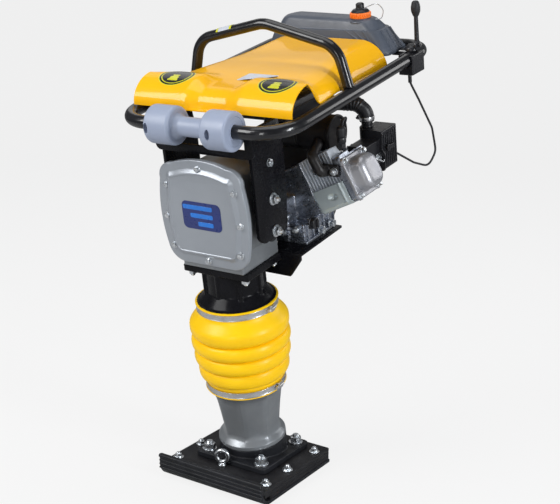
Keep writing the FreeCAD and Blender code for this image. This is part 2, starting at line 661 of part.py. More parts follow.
def case_outline(inset):
    """Front outline of the gear housing: bulging sides, arched top, narrower foot."""
    gap = " - (%s)" % inset
    plus = " + (%s)" % inset
    side, foot, top = "98" + gap, "66" + gap, "72" + gap
    return [
        (foot, "552" + plus), (side, "590", "44", 1), (side, "735", "332", 1),
        (top, "772" + gap, "32", 1), ("-(%s)" % top, "772" + gap, "222", 1),
        ("-(%s)" % side, "735", "32", 1), ("-(%s)" % side, "590", "332", 1),
        ("-(%s)" % foot, "552" + plus, "44", 1),
    ]


def cover_screw_spots():
    """Places of the eight cover screws, as (x, z)."""
    spots = [("0", "771"), ("0", "564")]
    for side in ("", "-"):
        spots += [(side + "87", "728"), (side + "95", "657"), (side + "87", "590")]
    return spots


def front_plate(name, inset, thick, holes=(), front="0"):
    body = plate(name, case_outline(inset), thick, holes)
    body.Placement = Placement(Vector(0, number(front), 0), DIRECTIONS["front"][0])
    return body


def make_crankcase():
    depth = "case_rear - case_front"
    flange = front_plate("case_flange_plate", "0", "case_flange", front="case_front + case_flange")
    trunk = front_plate("case_trunk", "case_inset", depth, front="case_rear")
    foot = box("case_foot", "2 * case_box_half", depth, "60", "-case_box_half", "case_front", "case_floor")
    cavity = front_plate("case_cavity", "case_inset + case_wall", "case_back_wall - case_front + 1",
                         front="case_back_wall")
    lower = box("case_lower_room", "2 * (bore + guide_wall)", "case_back_wall + bore + 2", "40",
                "-(bore + guide_wall)", "-(bore + 2)", "case_floor + 10")
    throat = cylinder("case_throat", "neck_radius + fit_gap", "60", "0", "0", "case_floor - 5")
    seats = []
    for name, radius, height in (("case_gear_seat", "gear_bearing", "crank_height"),
                                 ("case_pinion_seat", "pinion_bearing", "pinion_height")):
        seats.append(cylinder(name, radius, "bearing_back - bearing_front + 4",
                              "0", "bearing_front - 4", height, "rear"))
    seats.append(cylinder("case_shaft_hole", "pinion_journal + 2", "80",
                          "0", "bearing_front", "pinion_height", "rear"))
    seats.append(cylinder("case_journal_room", "journal + 2", "journal_end + 2 - bearing_front", "0",
                          "bearing_front", "crank_height", "rear"))
    for way, side in (("right", ""), ("left", "-")):
        for height in ("mount_upper", "mount_lower"):
            seats.append(cylinder("case_mount_seat", "mount_radius + fit_gap", "40",
                                  side + "mount_back", "mount_y", height, way))
    screw_holes = [cylinder("case_screw_hole", "screw_shank", "30", x, "case_front - 2", z, "rear")
                   for x, z in cover_screw_spots()]
    body = fuse("case_solid", flange, trunk, foot)
    keep(cut("crankcase", body, fuse("case_rooms", cavity, lower, throat, *seats, *screw_holes)), LEAN)


def make_cover():
    holes = [(x, z, "screw_shank + fit_gap") for x, z in cover_screw_spots()]
    base = front_plate("cover_base", "0", "cover_thick", holes, "case_front")
    face = "case_front - cover_thick"
    panel = new_body("cover_panel")
    foot = new_sketch(panel, "cover_panel_foot")
    draw_outline(foot, case_outline("slope_inset"))
    top = new_sketch(panel, "cover_panel_top", offset="panel_thick")
    draw_outline(top, case_outline("panel_inset"))
    loft = panel.newObject("PartDesign::AdditiveLoft", "cover_panel_slope")
    loft.Profile = foot
    loft.Sections = [top]
    panel.Placement = Placement(Vector(0, number(face), 0), DIRECTIONS["front"][0])
    ridge = front_plate("cover_ridge_outer", "ridge_inset", "panel_thick + ridge_thick", front=face)
    inside = front_plate("cover_ridge_inner", "ridge_inset + ridge_wide", "panel_thick + ridge_thick + 1",
                         front=face)
    keep(fuse("crankcase_cover", base, panel, cut("cover_ridge", ridge, inside)), LEAN)
    screws = [bolt("cover_screw", (x, face, z), "front", "screw_head", "screw_head_high",
                   "screw_shank - fit_gap", "18") for x, z in cover_screw_spots()]
    keep(fuse("cover_screws", *screws), LEAN)


def make_mounts():
    """Rubber buffers between housing and side plates, with the bolts that hold them."""
    buffers, bolts = [], []
    for way, side in (("right", ""), ("left", "-")):
        for height in ("mount_upper", "mount_lower"):
            place_at = (side + "mount_back", "mount_y", height)
            buffers.append(cylinder("buffer", "mount_radius", "plate_inner - mount_back", *place_at, way))
            outer = (side + "(plate_inner + plate_thick)", "mount_y", height)
            disc = cylinder("mount_washer", "washer", "washer_thick", *outer, way)
            seat = moved(outer, way, "washer_thick")
            head = hexagon("mount_head", "mount_bolt", "mount_bolt_high", *seat, way)
            bolts += [disc, head]
        top = (side + "(plate_inner + plate_thick)", "mount_y", "plate_bolt_top")
        bolts.append(hexagon("plate_bolt_head", "plate_bolt", "plate_bolt_high", *top, way))
    return buffers, bolts


def make_flange_nuts():
    """Nuts under the guide cylinder's flange, which hold it to the housing."""
    nuts = []
    for x in ("flange_nut_x", "-flange_nut_x"):
        for y in ("flange_nut_y", "-flange_nut_y"):
            nuts.append(hexagon("flange_nut_body", "flange_nut", "flange_nut_high",
                                x, y, "flange_low - flange_nut_high"))
    return nuts


def make_side_plates():
    buffers, bolts = make_mounts()
    keep(fuse("rubber_mounts", *buffers), LEAN)
    keep(fuse("mount_bolts", *bolts, *make_flange_nuts()), LEAN)
    outline = [
        ("-48", "620"), ("-20", "600", "28", 1), ("34", "600"), ("60", "626", "26", 1),
        ("66", "700"), ("68", "800"), ("58", "851"), ("-48", "851"),
    ]
    plates = []
    for name, x in (("right_plate", "plate_inner"), ("left_plate", "-plate_inner - plate_thick")):
        body = plate(name, outline, "plate_thick")
        body.Placement = Placement(Vector(number(x), 0, 0), DIRECTIONS["sideways"][0])
        plates.append(body)
    outline = [
        ("112", "793"), ("126", "807", "14", 1), ("126", "860"), ("105", "860"), ("105", "812"),
        ("-105", "812"), ("-105", "860"), ("-126", "860"), ("-126", "807"), ("-112", "793", "14", 1),
    ]
    panel = plate("cross_panel", outline, "panel_plate")
    panel.Placement = Placement(Vector(0, -48, 0), DIRECTIONS["front"][0])
    keep(fuse("frame_plates", panel, *plates), LEAN)


# ---------------------------------------------------------------- handle frame and roller

def closed_spine(sketch):
    """The handle loop's centre line: a rectangle with round corners."""
    half, length, front, rear = "loop_half", "loop_length", "front_bend", "rear_bend"
    draw_outline(sketch, [
        ("%s - %s" % (half, front), "0"), (half, front, front, 1),
        (half, "%s - %s" % (length, rear)), ("%s - %s" % (half, rear), length, rear, 1),
        ("-(%s - %s)" % (half, rear), length), ("-" + half, "%s - %s" % (length, rear), rear, 1),
        ("-" + half, front), ("-(%s - %s)" % (half, front), "0", front, 1),
    ])


def make_handle():
    slope = Placement(Vector(0, number("loop_front"), number("loop_height")),
                      Rotation(Vector(1, 0, 0), number("loop_slope")))
    body = new_body("handle_loop")
    spine = new_sketch(body, "loop_spine")
    closed_spine(spine)
    section = new_sketch(body, "loop_section", "YZ_Plane")
    draw_circle(section, "0", "0", "tube_radius")
    pipe = body.newObject("PartDesign::AdditivePipe", "loop_pipe")
    pipe.Profile = section
    pipe.Spine = (spine, [])
    keep(body, LEAN.multiply(slope))
    make_arch()


def make_arch():
    body = new_body("arch_bar")
    spine = new_sketch(body, "arch_spine", "XZ_Plane")
    corners = [("-arch_foot", "arch_foot_height"), ("-arch_shoulder", "arch_shoulder_height"),
               ("0", "arch_peak_height"), ("arch_shoulder", "arch_shoulder_height"),
               ("arch_foot", "arch_foot_height")]
    spine_corners = []
    points = [Vector(number(x), number(z), 0) for x, z in corners]
    bends = [number("shoulder_bend"), number("peak_bend"), number("shoulder_bend")]
    spine_corners.append((str(points[0].x), str(points[0].y)))
    for before, corner, after, bend in zip(points, points[1:], points[2:], bends):
        back, ahead = before.sub(corner).normalize(), after.sub(corner).normalize()
        run = bend / math.tan(back.getAngle(ahead) / 2)
        entry, leave = corner.add(Vector(back).multiply(run)), corner.add(Vector(ahead).multiply(run))
        spine_corners.append((str(entry.x), str(entry.y)))
        spine_corners.append((str(leave.x), str(leave.y), str(bend), -1))
    spine_corners.append((str(points[-1].x), str(points[-1].y)))
    draw_outline(spine, spine_corners, closed=False)
    section = new_sketch(body, "arch_section", offset="arch_foot_height")
    draw_circle(section, "-arch_foot", "0", "arch_tube")
    pipe = body.newObject("PartDesign::AdditivePipe", "arch_pipe")
    pipe.Profile = section
    pipe.Spine = (spine, [])
    body.Placement = Placement(Vector(0, number("arch_y"), 0), Rotation())
    tubes = []
    for x in ("-loop_half", "loop_half"):
        tube = bar("arch_trim", "tube_radius + fit_gap", "loop_length")
        base = Vector(number(x), number("loop_front"), number("loop_height"))
        slope = Rotation(Vector(1, 0, 0), number("loop_slope"))
        tube.Placement = Placement(base, slope.multiply(DIRECTIONS["rear"][0]))
        tubes.append(tube)
    keep(cut("carry_arch", body, fuse("arch_trims", *tubes)), LEAN)


def make_roller():
    hole = "tube_radius + fit_gap"
    collar, end, inner = "roller_collar", "roller_half", "collar_inner"
    right = [(hole, "-" + end), (collar + " - roller_round", "-" + end),
             (collar, "-%s + roller_round" % end, "roller_round", 1),
             (collar, "-%s - roller_round" % inner),
             (collar + " - roller_round", "-" + inner, "roller_round", 1),
             ("roller_middle + 6", "-" + inner), ("roller_middle", "-%s + 6" % inner, "6", -1)]
    left = [("roller_middle", inner + " - 6"), ("roller_middle + 6", inner, "6", -1),
            (collar + " - roller_round", inner), (collar, inner + " + roller_round", "roller_round", 1),
            (collar, end + " - roller_round"), (collar + " - roller_round", end, "roller_round", 1),
            (hole, end)]
    keep(turned("transport_roller", right + left), spot("0", "loop_front", "loop_height", "right"))


# ---------------------------------------------------------------- hood and fuel tank

def smooth(value):
    value = min(1, max(0, value))
    return value * value * (3 - 2 * value)


def rise(depth, reach, height):
    """Height gained over a quarter of an ellipse, depth in from its foot."""
    share = min(1, max(0, depth / reach))
    return height * math.sqrt(1 - (1 - share) ** 2)


def skirt_height(y):
    """The hood's lower edge: on the side tubes in front, and down between them where it narrows."""
    share = smooth((y - number("skirt_start")) / number("skirt_run"))
    return number("skirt_low") - number("skirt_drop") * share


def hood_half_width(y):
    """The hood is widest over the humps and narrows to its tail."""
    return number("hood_half") - number("tail_inset") * smooth((y - 60) / 290)


def hood_height(x, y):
    """Outer skin over a point: a flat panel between two round humps, which are open at the sides."""
    side = abs(x)
    hump = smooth((side - number("valley_half")) / number("valley_slope"))
    start = number("hood_front") + number("valley_set_back") * (1 - hump)
    crest_y = number("valley_crest_y") + (number("hump_crest_y") - number("valley_crest_y")) * hump
    crest = number("panel_high") + number("hump_high") * hump
    foot = number("skirt_low")
    front = foot + rise(y - start, crest_y - start, crest - foot)
    panel = number("panel_high") + number("panel_slope") * (y - crest_y)
    behind = panel + number("hump_high") * hump * (1 - smooth((y - crest_y) / number("hump_length")))
    height = front if y < crest_y else behind
    fall = smooth((y - number("side_start")) / number("side_run"))
    edge = skirt_height(y)
    half = hood_half_width(y)
    shoulder = rise(half - side, number("side_round"), 1)
    return edge + (height - edge) * (1 - fall * (1 - shoulder))


def hood_skin(drop, shrink):
    """One skin of the hood as a smooth surface through a grid of points."""
    rows = []
    front, rear = number("hood_front"), number("hood_rear")
    stations = [front + step for step in (0.2, 3, 8, 16, 28, 48, 65, 82, 100, 120, 150, 200, 270, 350, 420)]
    for y in stations + [rear]:
        half = hood_half_width(y)
        row_points = []
        for step in range(-22, 23):
            turn = math.pi / 2 * step / 22
            x = half * (0.45 * step / 22 + 0.55 * math.sin(turn))
            inner = x * (half - shrink) / half
            height = hood_height(x, y)
            row_points.append(Vector(inner, y, height - drop))
        rows.append(row_points)
    surface = Part.BSplineSurface()
    surface.interpolate(rows)
    return surface.toShape()


def make_hood():
    outer, inner = hood_skin(0, 0), hood_skin(number("skin"), number("skin"))
    faces = [outer, inner]
    for first, second in zip(outer.OuterWire.Edges, inner.OuterWire.Edges):
        faces.append(Part.makeRuledSurface(first, second))
    shell = Part.Shell(Part.makeCompound(faces).Faces)
    shell.sewShape()
    solid = Part.Solid(shell)
    solid.fix(0.01, 0.01, 0.01)
    if solid.Volume < 0:
        solid.reverse()
    free_piece("hood", solid, LEAN)


def make_tank():
    low = [("tank_half", "tank_front"), ("tank_half", "tank_rear"),
           ("-tank_half", "tank_rear"), ("-tank_half", "tank_front")]
    high = [("crown_right", "crown_front"), ("crown_right", "crown_rear"),
            ("-crown_left", "crown_rear"), ("-crown_left", "crown_front")]
    body = new_body("fuel_tank")
    bottom = new_sketch(body, "tank_low", offset="tank_foot")
    draw_outline(bottom, low)
    top = new_sketch(body, "tank_high", offset="tank_crown")
    draw_outline(top, high)
    loft = body.newObject("PartDesign::AdditiveLoft", "tank_loft")
    loft.Profile = bottom
    loft.Sections = [top]
    keep(body, LEAN)
    cap = turned("fuel_cap", [
        ("0", "1"), ("filler", "1"), ("filler", "14"), ("filler - 5", "20"), ("filler_knob", "22"),
        ("filler_knob", "filler_high"), ("0", "filler_high")])
    keep(cap, spot("filler_x", "filler_y", "tank_crown"))


# ---------------------------------------------------------------- engine

def make_block():
    case = box("block_case", "2 * block_half", "block_back - bell_back", "block_high - block_low",
               "-block_half", "bell_back", "block_low")
    sump = box("block_sump", "sump_left + sump_right", "block_back - bell_back - 6",
               "sump_high - block_low", "-sump_left", "bell_back + 3", "block_low")
    to_lean = LEAN.inverse().multiply(ENGINE)
    deck = bar("block_deck", "barrel_foot", "fin_first + 4.3")
    deck.Placement = to_lean
    casting = block("block_casting", "casting_up + casting_down", "2 * casting_half",
                    "fin_first + 4.3 - casting_foot")
    corner = Vector(-number("casting_up"), -number("casting_half"), number("casting_foot"))
    casting.Placement = to_lean.multiply(Placement(corner, Rotation()))
    bore = bar("block_bore", "engine_bore", "fin_first + 20")
    bore.Placement = to_lean
    room = cylinder("block_room", "42", "block_back - bell_back - 16",
                    "0", "bell_back + 8", "shaft_height", "rear")
    shaft = cylinder("block_shaft_hole", "crank_radius + fit_gap", "200",
                     "0", "bell_back - 10", "shaft_height", "rear")
    rooms = fuse("block_rooms", bore, room, shaft)
    keep(cut("engine_block", fuse("block_solid", case, sump, deck, casting), rooms), LEAN)
    bell = ring("clutch_housing", "56", "66", "bell_front", "bell_back")
    keep(bell, spot("0", "0", "shaft_height", "rear"))


def make_cylinder():
    body = new_body("finned_barrel")
    barrel = new_sketch(body, "cylinder_barrel", offset="fin_first + 4.5")
    draw_circle(barrel, "0", "0", "barrel_radius")
    draw_circle(barrel, "0", "0", "engine_bore")
    pad(body, barrel, "head_start - fin_first - 4.5")
    fin = new_sketch(body, "cylinder_fin", offset="fin_first + 5")
    half = "cylinder_half - 2"
    draw_outline(fin, [("fin_down", "-(%s)" % half), ("fin_down", half), ("-fin_up", half),
                       ("-fin_up", "-(%s)" % half)])
    draw_circle(fin, "0", "0", "engine_bore")
    feature = pad(body, fin, "fin_thick")
    pattern = body.newObject("PartDesign::LinearPattern", "cylinder_fins")
    pattern.Originals = [feature]
    pattern.Direction = (fin, ["N_Axis"])
    bind(pattern, Length="fin_pitch * (fin_count - 1)")
    pattern.Occurrences = int(number("fin_count"))
    body.Tip = pattern
    keep(trimmed_by_muffler("engine_cylinder", body), LEAN)


def trimmed_by_muffler(name, body):
    """Fins and head stay clear of the muffler canister above them."""
    body.Placement = LEAN.inverse().multiply(ENGINE)
    clear = cylinder(name + "_trim", "muffler_radius + 3", "400",
                     "-200", "muffler_y", "muffler_height", "right")
    return cut(name, body, clear)


def rounded_outline(low_x, high_x, half_y, corner, middle_y="0"):
    """A rectangle with round corners."""
    low_y = "%s - (%s)" % (middle_y, half_y)
    high_y = "%s + %s" % (middle_y, half_y)
    return [
        ("%s - %s" % (high_x, corner), low_y),
        (high_x, "%s + %s" % (low_y, corner), corner, 1), (high_x, "%s - %s" % (high_y, corner)),
        ("%s - %s" % (high_x, corner), high_y, corner, 1), ("%s + %s" % (low_x, corner), high_y),
        (low_x, "%s - %s" % (high_y, corner), corner, 1), (low_x, "%s + %s" % (low_y, corner)),
        ("%s + %s" % (low_x, corner), low_y, corner, 1),
    ]


def raised(body, height):
    body.Placement = Placement(Vector(0, 0, number(height)), Rotation())
    return body


def make_head():
    head = new_body("head_block")
    sketch = new_sketch(head, "head_outline", offset="head_start")
    draw_outline(sketch, rounded_outline("-58", "50", "cylinder_half", "10"))
    pad(head, sketch, "head_end - head_start")
    keep(trimmed_by_muffler("cylinder_head", head), LEAN)
    ends = ("cover_bolt_in - cover_left", "cover_right - cover_bolt_in")
    sides = ("cover_shift - cover_half + cover_bolt_in", "cover_shift + cover_half - cover_bolt_in")
    spots = [(x, y) for x in ends for y in sides]
    holes = [(x, y, "3 + fit_gap") for x, y in spots]
    rim = rounded_outline("-cover_left", "cover_right", "cover_half", "14", "cover_shift")
    base = raised(plate("valve_base", rim, "cover_flange", holes), "head_end")
    crown = rounded_outline("9 - cover_left", "cover_right - 9", "cover_half - 8", "30", "cover_shift")
    dome = raised(plate("valve_dome", crown, "cover_end - head_end - cover_flange"),
                  "head_end + cover_flange")
    keep(fuse("valve_cover", base, dome), ENGINE)
    bolts = [bolt("valve_bolt", (x, y, "head_end + cover_flange"), "up", "6.5", "6", "3", "cover_flange")
             for x, y in spots]
    keep(fuse("valve_cover_bolts", *bolts), ENGINE)


def make_exhaust():
    to_lean = LEAN.inverse().multiply(ENGINE)
    port_up, port_out = number("port_up"), number("port_out")
    port = to_lean.multVec(Vector(-port_up, -number("cylinder_half"), port_out))
    flange = block("exhaust_flange", "exhaust_wide", "8", "exhaust_long")
    face = -number("cylinder_half + 8.2")
    lean = Rotation(Vector(0, 1, 0), number("exhaust_turn"))
    corner = lean.multVec(Vector(-number("exhaust_wide"), 0, -number("exhaust_long")) * 0.5)
    centre = Vector(-port_up, face, port_out)
    flange.Placement = to_lean.multiply(Placement(centre + corner, lean))
    pipe = doc.addObject("Part::Feature", "exhaust_bend")
    front = port.y - 26
    pipe.Shape = hose_shape([
        (port.x, port.y - 2, port.z), (port.x, front, port.z), (port.x - 20, front, port.z + 36),
        (port.x - 45, number("muffler_y - muffler_radius + 4"), number("muffler_height - 8"))], 14, 12)
    clear = cylinder("exhaust_trim", "muffler_radius + 0.2", "400",
                     "-200", "muffler_y", "muffler_height", "right")
    nuts = []
    for end in (-1, 1):
        nut = doc.addObject("Part::Prism", "exhaust_nut")
        nut.Polygon = 6
        bind(nut, Circumradius="exhaust_nut", Height="7")
        reach = lean.multVec(Vector(0, 0, end * number("exhaust_stud")))
        nut.Placement = Placement(to_lean.multVec(centre + reach), DIRECTIONS["front"][0])
        nuts.append(nut)
    keep(fuse("exhaust_pipe", flange, cut("exhaust_bend_trimmed", pipe, clear), *nuts), LEAN)
    radius, length = "muffler_radius", "muffler_right - muffler_left"
    can = turned("muffler", [
        ("0", "0"), (radius + " - 12", "0"), (radius, "12", "12", 1), (radius, length + " - 4"),
        (radius + " - 4", length, "4", 1), (radius + " - 9", length),
        (radius + " - 11", length + " - 4"), ("0", length + " - 4")])
    keep(can, spot("muffler_left", "muffler_y", "muffler_height", "right"))


def make_shrouds():
    panel = block("air_shroud", "shroud_down + shroud_up", "2", "shroud_end - shroud_start")
    corner = Vector(-number("shroud_up"), -number("cylinder_half + 2.5"), number("shroud_start"))
    where = Placement(corner, Rotation())
    keep(panel, ENGINE.multiply(where))
    height = "shaft_height"
    to_lean = LEAN.inverse().multiply(ENGINE)
    shells = []
    for name, wall in (("fan_outer", 0), ("fan_inner", 3)):
        depth = "fan_back - block_back - 6 - %d" % wall
        drum = cylinder(name + "_drum", "fan_radius - %d" % wall, depth,
                        "0", "block_back + 6", height, "rear")
        arm = block(name + "_arm", "duct_up + duct_down - %d" % (2 * wall), depth,
                    "duct_end - %d" % wall)
        arm.Placement = to_lean.multiply(Placement(
            Vector(wall - number("duct_up"), number("block_back + 6 - cylinder_y"), 0), Rotation()))
        shells.append(fuse(name, drum, arm))
    hole = cylinder("fan_hole", "fan_inlet", "100", "0", "fan_back - 20", height, "rear")
    keep(cut("fan_shroud", cut("fan_shell", *shells), hole), LEAN)
    keep(turned("recoil_cover", [
        ("88", "0"), ("92", "0"), ("92", "8"), ("76", "30"), ("67", "34"), ("0", "34"),
        ("0", "31"), ("65", "31"), ("73", "27"), ("88", "7")]), spot("0", "fan_back + 0.5", height, "rear"))
    handle = box("grip_bar", "grip_thick", "grip_wide", "grip_long",
                 "-grip_left", "grip_y - grip_wide / 2", "grip_height - grip_long / 2")
    neck = cylinder("grip_neck", "5", "14", "grip_thick - grip_left - 2", "grip_y", "grip_height", "right")
    keep(fuse("starter_grip", handle, neck), LEAN)


def make_crankshaft():
    height = "shaft_height"
    core = cylinder("crank_bar", "crank_radius", "crank_long", "0", "crank_front", height, "rear")
    cheeks = cylinder("crank_cheeks", "cheek_radius", "cheek_long", "0", "cheek_front", height, "rear")
    keep(fuse("engine_crankshaft", core, cheeks), LEAN)
    wheel = ring("flywheel_disc", "crank_radius", "flywheel_radius", "0", "14")
    blades = []
    for count in range(12):
        blade = block("fan_blade", "30", "3", "18")
        blade.Placement = Placement(Vector(), Rotation(Vector(0, 0, 1), 30 * count)).multiply(
            Placement(Vector(54, -1.5, 12), Rotation()))
        blades.append(blade)
    keep(fuse("flywheel", wheel, *blades), spot("0", "256", height, "rear"))
    hub = ring("clutch_hub", "crank_radius", "24", "0", "20")
    shoes = ring("clutch_lining", "22", "46", "0", "20")
    slots = []
    for count in range(3):
        slot = block("clutch_slot", "40", "10", "30")
        slot.Placement = Placement(Vector(), Rotation(Vector(0, 0, 1), 120 * count)).multiply(
            Placement(Vector(24, -5, -5), Rotation()))
        slots.append(slot)
    keep(cut("clutch_shoes", fuse("clutch_solid", hub, shoes), fuse("clutch_slots", *slots)),
         spot("0", "82", height, "rear"))


def make_intake():
    front = "cylinder_y + cylinder_half"
    body = box("carburettor_body", "carb_wide", "carb_deep", "carb_high",
               "carb_left", front + " + carb_gap", "carb_foot")
    manifold = cylinder("carburettor_manifold", "manifold_radius", "carb_gap + 6",
                        "manifold_x", front + " + 0.2", "manifold_height", "rear")
    bowl = cylinder("carburettor_bowl", "bowl_radius", "bowl_high",
                    "carb_left + carb_wide / 2", "bowl_y", "carb_foot - bowl_high + 2")
    choke = box("choke_box", "choke_wide", "choke_deep", "choke_high",
                "choke_left", front + " + carb_gap + carb_deep - 2", "choke_foot")
    neck = cylinder("intake_neck", "neck_pipe", "14", "neck_x", "neck_y", "neck_foot")
    boss = cylinder("intake_boss", "neck_boss", "34", "neck_x", "neck_y", "neck_foot - 32")
    keep(fuse("carburettor", body, manifold, bowl, choke, boss, neck), LEAN)
    start_x, start_y = number("neck_x"), number("neck_y")
    low, high = number("neck_foot + 14.5"), number("elbow_high")
    path = [(start_x, start_y, low), (start_x, start_y, high - 24),
            (start_x - 20, start_y - 8, high - 4), (start_x - 98, start_y - 34, high)]
    free_piece("intake_hose", hose_shape(path, number("elbow_bend"), number("elbow_radius")), LEAN)
    keep(block("air_filter", "filter_wide", "filter_deep", "filter_high"),
         spot("-filter_left", "filter_front", "filter_foot"))
    lever = box("choke_tab", "4", "34", "10", "choke_x + 4.8", "choke_y - 5", "choke_height - 5")
    hub = cylinder("choke_hub", "8", "5", "choke_x + 4.3", "choke_y", "choke_height", "right")
    pin = cylinder("choke_pin", "3", "6", "choke_x", "choke_y", "choke_height", "right")
    keep(fuse("choke_lever", hub, lever, pin), LEAN)
    base = cylinder("plug_body", "plug_radius", "18", "plug_x", "cylinder_y - 12", "plug_foot")
    boot = cylinder("plug_boot", "boot_radius", "boot_long", "plug_x", "cylinder_y - 12", "plug_foot + 12")
    keep(fuse("spark_plug", base, boot), LEAN)


def make_bracket():
    """Deck under the engine, hung behind the housing on a gusset plate."""
    deck = box("bracket_deck", "deck_left + deck_right", "block_back - deck_front + 2", "deck_thick",
               "-deck_left", "deck_front", "block_low - deck_thick - 0.5")
    gusset = plate("bracket_gusset", [
        ("gusset_half", "gusset_low"), ("deck_right - 4", "gusset_shoulder"),
        ("deck_right - 4", "block_low - 2"), ("-deck_left", "block_low - 2"),
        ("-gusset_left", "gusset_low")], "gusset_thick")
    gusset.Placement = Placement(Vector(0, number("deck_front + gusset_thick"), 0), DIRECTIONS["front"][0])
    room = cylinder("bracket_bell_room", "67", "60", "0", "60", "shaft_height", "rear")
    keep(cut("engine_bracket", fuse("bracket_solid", deck, gusset), room), LEAN)


# ---------------------------------------------------------------- controls

def make_controls():
    base = box("mount_block", "mount_wide", "mount_long", "mount_high",
               "lever_x - 15", "lever_y - 42", "mount_foot")
    hub = cylinder("mount_hub", "12", "18", "lever_x - 9", "lever_y", "lever_height - 9", "right")
    hole = doc.addObject("Part::Cylinder", "mount_hole")
    bind(hole, Radius="tube_radius + 0.5", Height="clear_long")
    slope = Rotation(Vector(1, 0, 0), number("loop_slope")).multiply(DIRECTIONS["rear"][0])
    start = Vector(number("loop_half"), number("loop_front"), number("loop_height"))
    ahead = Rotation(Vector(1, 0, 0), number("loop_slope")).multVec(Vector(0, number("clear_long"), 0))
    hole.Placement = Placement(start.add(ahead), slope)
    pocket = cylinder("switch_pocket", "switch_radius + 0.5", "switch_travel + 1", "lever_x + 3",
                      "lever_y + 18 - switch_travel - 1", "switch_height", "rear")
    keep(cut("throttle_mount", fuse("mount_solid", base, hub), fuse("mount_rooms", hole, pocket)), LEAN)
    knob = cylinder("lever_knob", "6.5", "26", "lever_x + 13", "lever_y", "lever_height + lever_length - 24")
    arm = box("lever_arm", "4", "12", "lever_length - 20", "lever_x + 11", "lever_y - 6", "lever_height")
    eye = cylinder("lever_eye", "13", "5", "lever_x + 10.5", "lever_y", "lever_height", "right")
    keep(fuse("throttle_lever", eye, arm, knob), LEAN)
    free_piece("throttle_cable", hose_shape([
        (206, 480, 839), (206, 478, 820), (214, 505, 770), (226, 545, 690), (232, 550, 630),
        (226, 520, 600), (212, 470, 625), (196, 404, 672)], 24, 2.6), LEAN)
    keep(bar("stop_switch", "switch_radius", "switch_long"),
         spot("lever_x + 3", "lever_y + 18.2", "switch_height", "rear"))
    tap = cylinder("fuel_tap_stem", "4", "tap_stem", "tap_x", "tap_y", "tank_foot - 0.5 - tap_stem")
    handle = box("fuel_tap_handle", "34", "8", "6", "tap_x - 14", "tap_y - 4", "tank_foot - tap_stem - 6.5")
    keep(fuse("fuel_tap", tap, handle), LEAN)


for maker in (make_shoe, make_foot, make_eye_bolt, make_leg, make_springs, make_guide, make_bellows,
              make_crosshead, make_rod, make_gears, make_crankcase, make_cover, make_side_plates,
              make_handle, make_roller, make_hood, make_tank, make_block, make_cylinder, make_head,
              make_exhaust, make_shrouds, make_crankshaft, make_intake, make_bracket, make_controls):
    maker()
doc.recompute()

faults = [item.Name for item in doc.Objects if {"Invalid", "Error"} & set(item.State)]
faults += [piece.Label for piece in PIECES if piece.Shape.isNull() or not piece.Shape.isValid()]
if faults:
    raise SystemExit("failed: " + ", ".join(faults))
os.makedirs("parts", exist_ok=True)
for piece in PIECES:
    piece.Shape.exportStep("parts/%s.step" % piece.Label)
    solids, volume = len(piece.Shape.Solids), piece.Shape.Volume / 1000
    print("%-24s solids %d volume %.1f cm3" % (piece.Label, solids, volume))
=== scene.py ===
# Looks of a jumping jack rammer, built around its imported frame.
#
# Shapes are drawn in millimetres in the machine's leaning frame (x across, v rearward, a up
# the leg) and carried into the row frame, in metres, by LEAN.  Places come from the boxes of
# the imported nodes.

import json
import math

import bmesh
import bpy
import numpy as np
from mathutils import Matrix, Vector


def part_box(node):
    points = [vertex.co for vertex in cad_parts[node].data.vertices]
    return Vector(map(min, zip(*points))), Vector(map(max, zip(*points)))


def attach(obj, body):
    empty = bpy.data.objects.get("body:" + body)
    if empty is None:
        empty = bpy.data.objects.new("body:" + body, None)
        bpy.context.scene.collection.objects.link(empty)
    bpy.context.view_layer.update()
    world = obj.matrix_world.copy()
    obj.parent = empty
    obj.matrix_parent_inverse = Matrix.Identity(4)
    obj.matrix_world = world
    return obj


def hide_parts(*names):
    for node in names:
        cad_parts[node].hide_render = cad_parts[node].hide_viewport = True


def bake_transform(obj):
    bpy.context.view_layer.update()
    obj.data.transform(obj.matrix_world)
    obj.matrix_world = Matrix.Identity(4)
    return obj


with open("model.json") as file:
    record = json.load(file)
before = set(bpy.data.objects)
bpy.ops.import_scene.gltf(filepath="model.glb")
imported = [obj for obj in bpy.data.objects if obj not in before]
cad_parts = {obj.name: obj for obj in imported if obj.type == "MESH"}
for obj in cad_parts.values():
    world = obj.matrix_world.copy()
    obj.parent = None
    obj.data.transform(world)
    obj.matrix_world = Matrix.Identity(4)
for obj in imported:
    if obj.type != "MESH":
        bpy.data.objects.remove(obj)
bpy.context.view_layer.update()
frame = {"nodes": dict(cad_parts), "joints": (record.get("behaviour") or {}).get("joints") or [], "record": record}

MM = 0.001
AXIS = 0.01
ENGINE_RISE = math.radians(64)
RECORD = frame["record"]
JOINTS = {joint["name"]: joint for joint in frame["joints"]}
BODY_OF = {node: body for body, nodes in RECORD["behaviour"]["bodies"].items() for node in nodes}
SLOT_OF = {part["node"]: part["material_slot"] for part in RECORD["subparts"]}


# ---------------------------------------------------------------- frames

def leaning_frame():
    """From millimetres of the leaning frame to metres of the row frame."""
    axis = Vector(JOINTS["ram_stroke"]["axis"])
    tilt = math.atan2(-axis.y, axis.z)
    low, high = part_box("crosshead")
    centre = (low + high) / 2
    ground_y = centre.y + centre.z * math.tan(tilt)
    return Matrix.Translation((0, ground_y, 0)) @ Matrix.Rotation(tilt, 4, "X") @ Matrix.Scale(MM, 4)


def span(node, into=None):
    """Lowest and highest corner of a CAD node, in millimetres of a frame."""
    mesh = frame["nodes"][node].data
    flat = np.empty(len(mesh.vertices) * 3)
    mesh.vertices.foreach_get("co", flat)
    back = np.array((into or LEAN).inverted())
    points = flat.reshape(-1, 3) @ back[:3, :3].T + back[:3, 3]
    return Vector(points.min(0)), Vector(points.max(0))


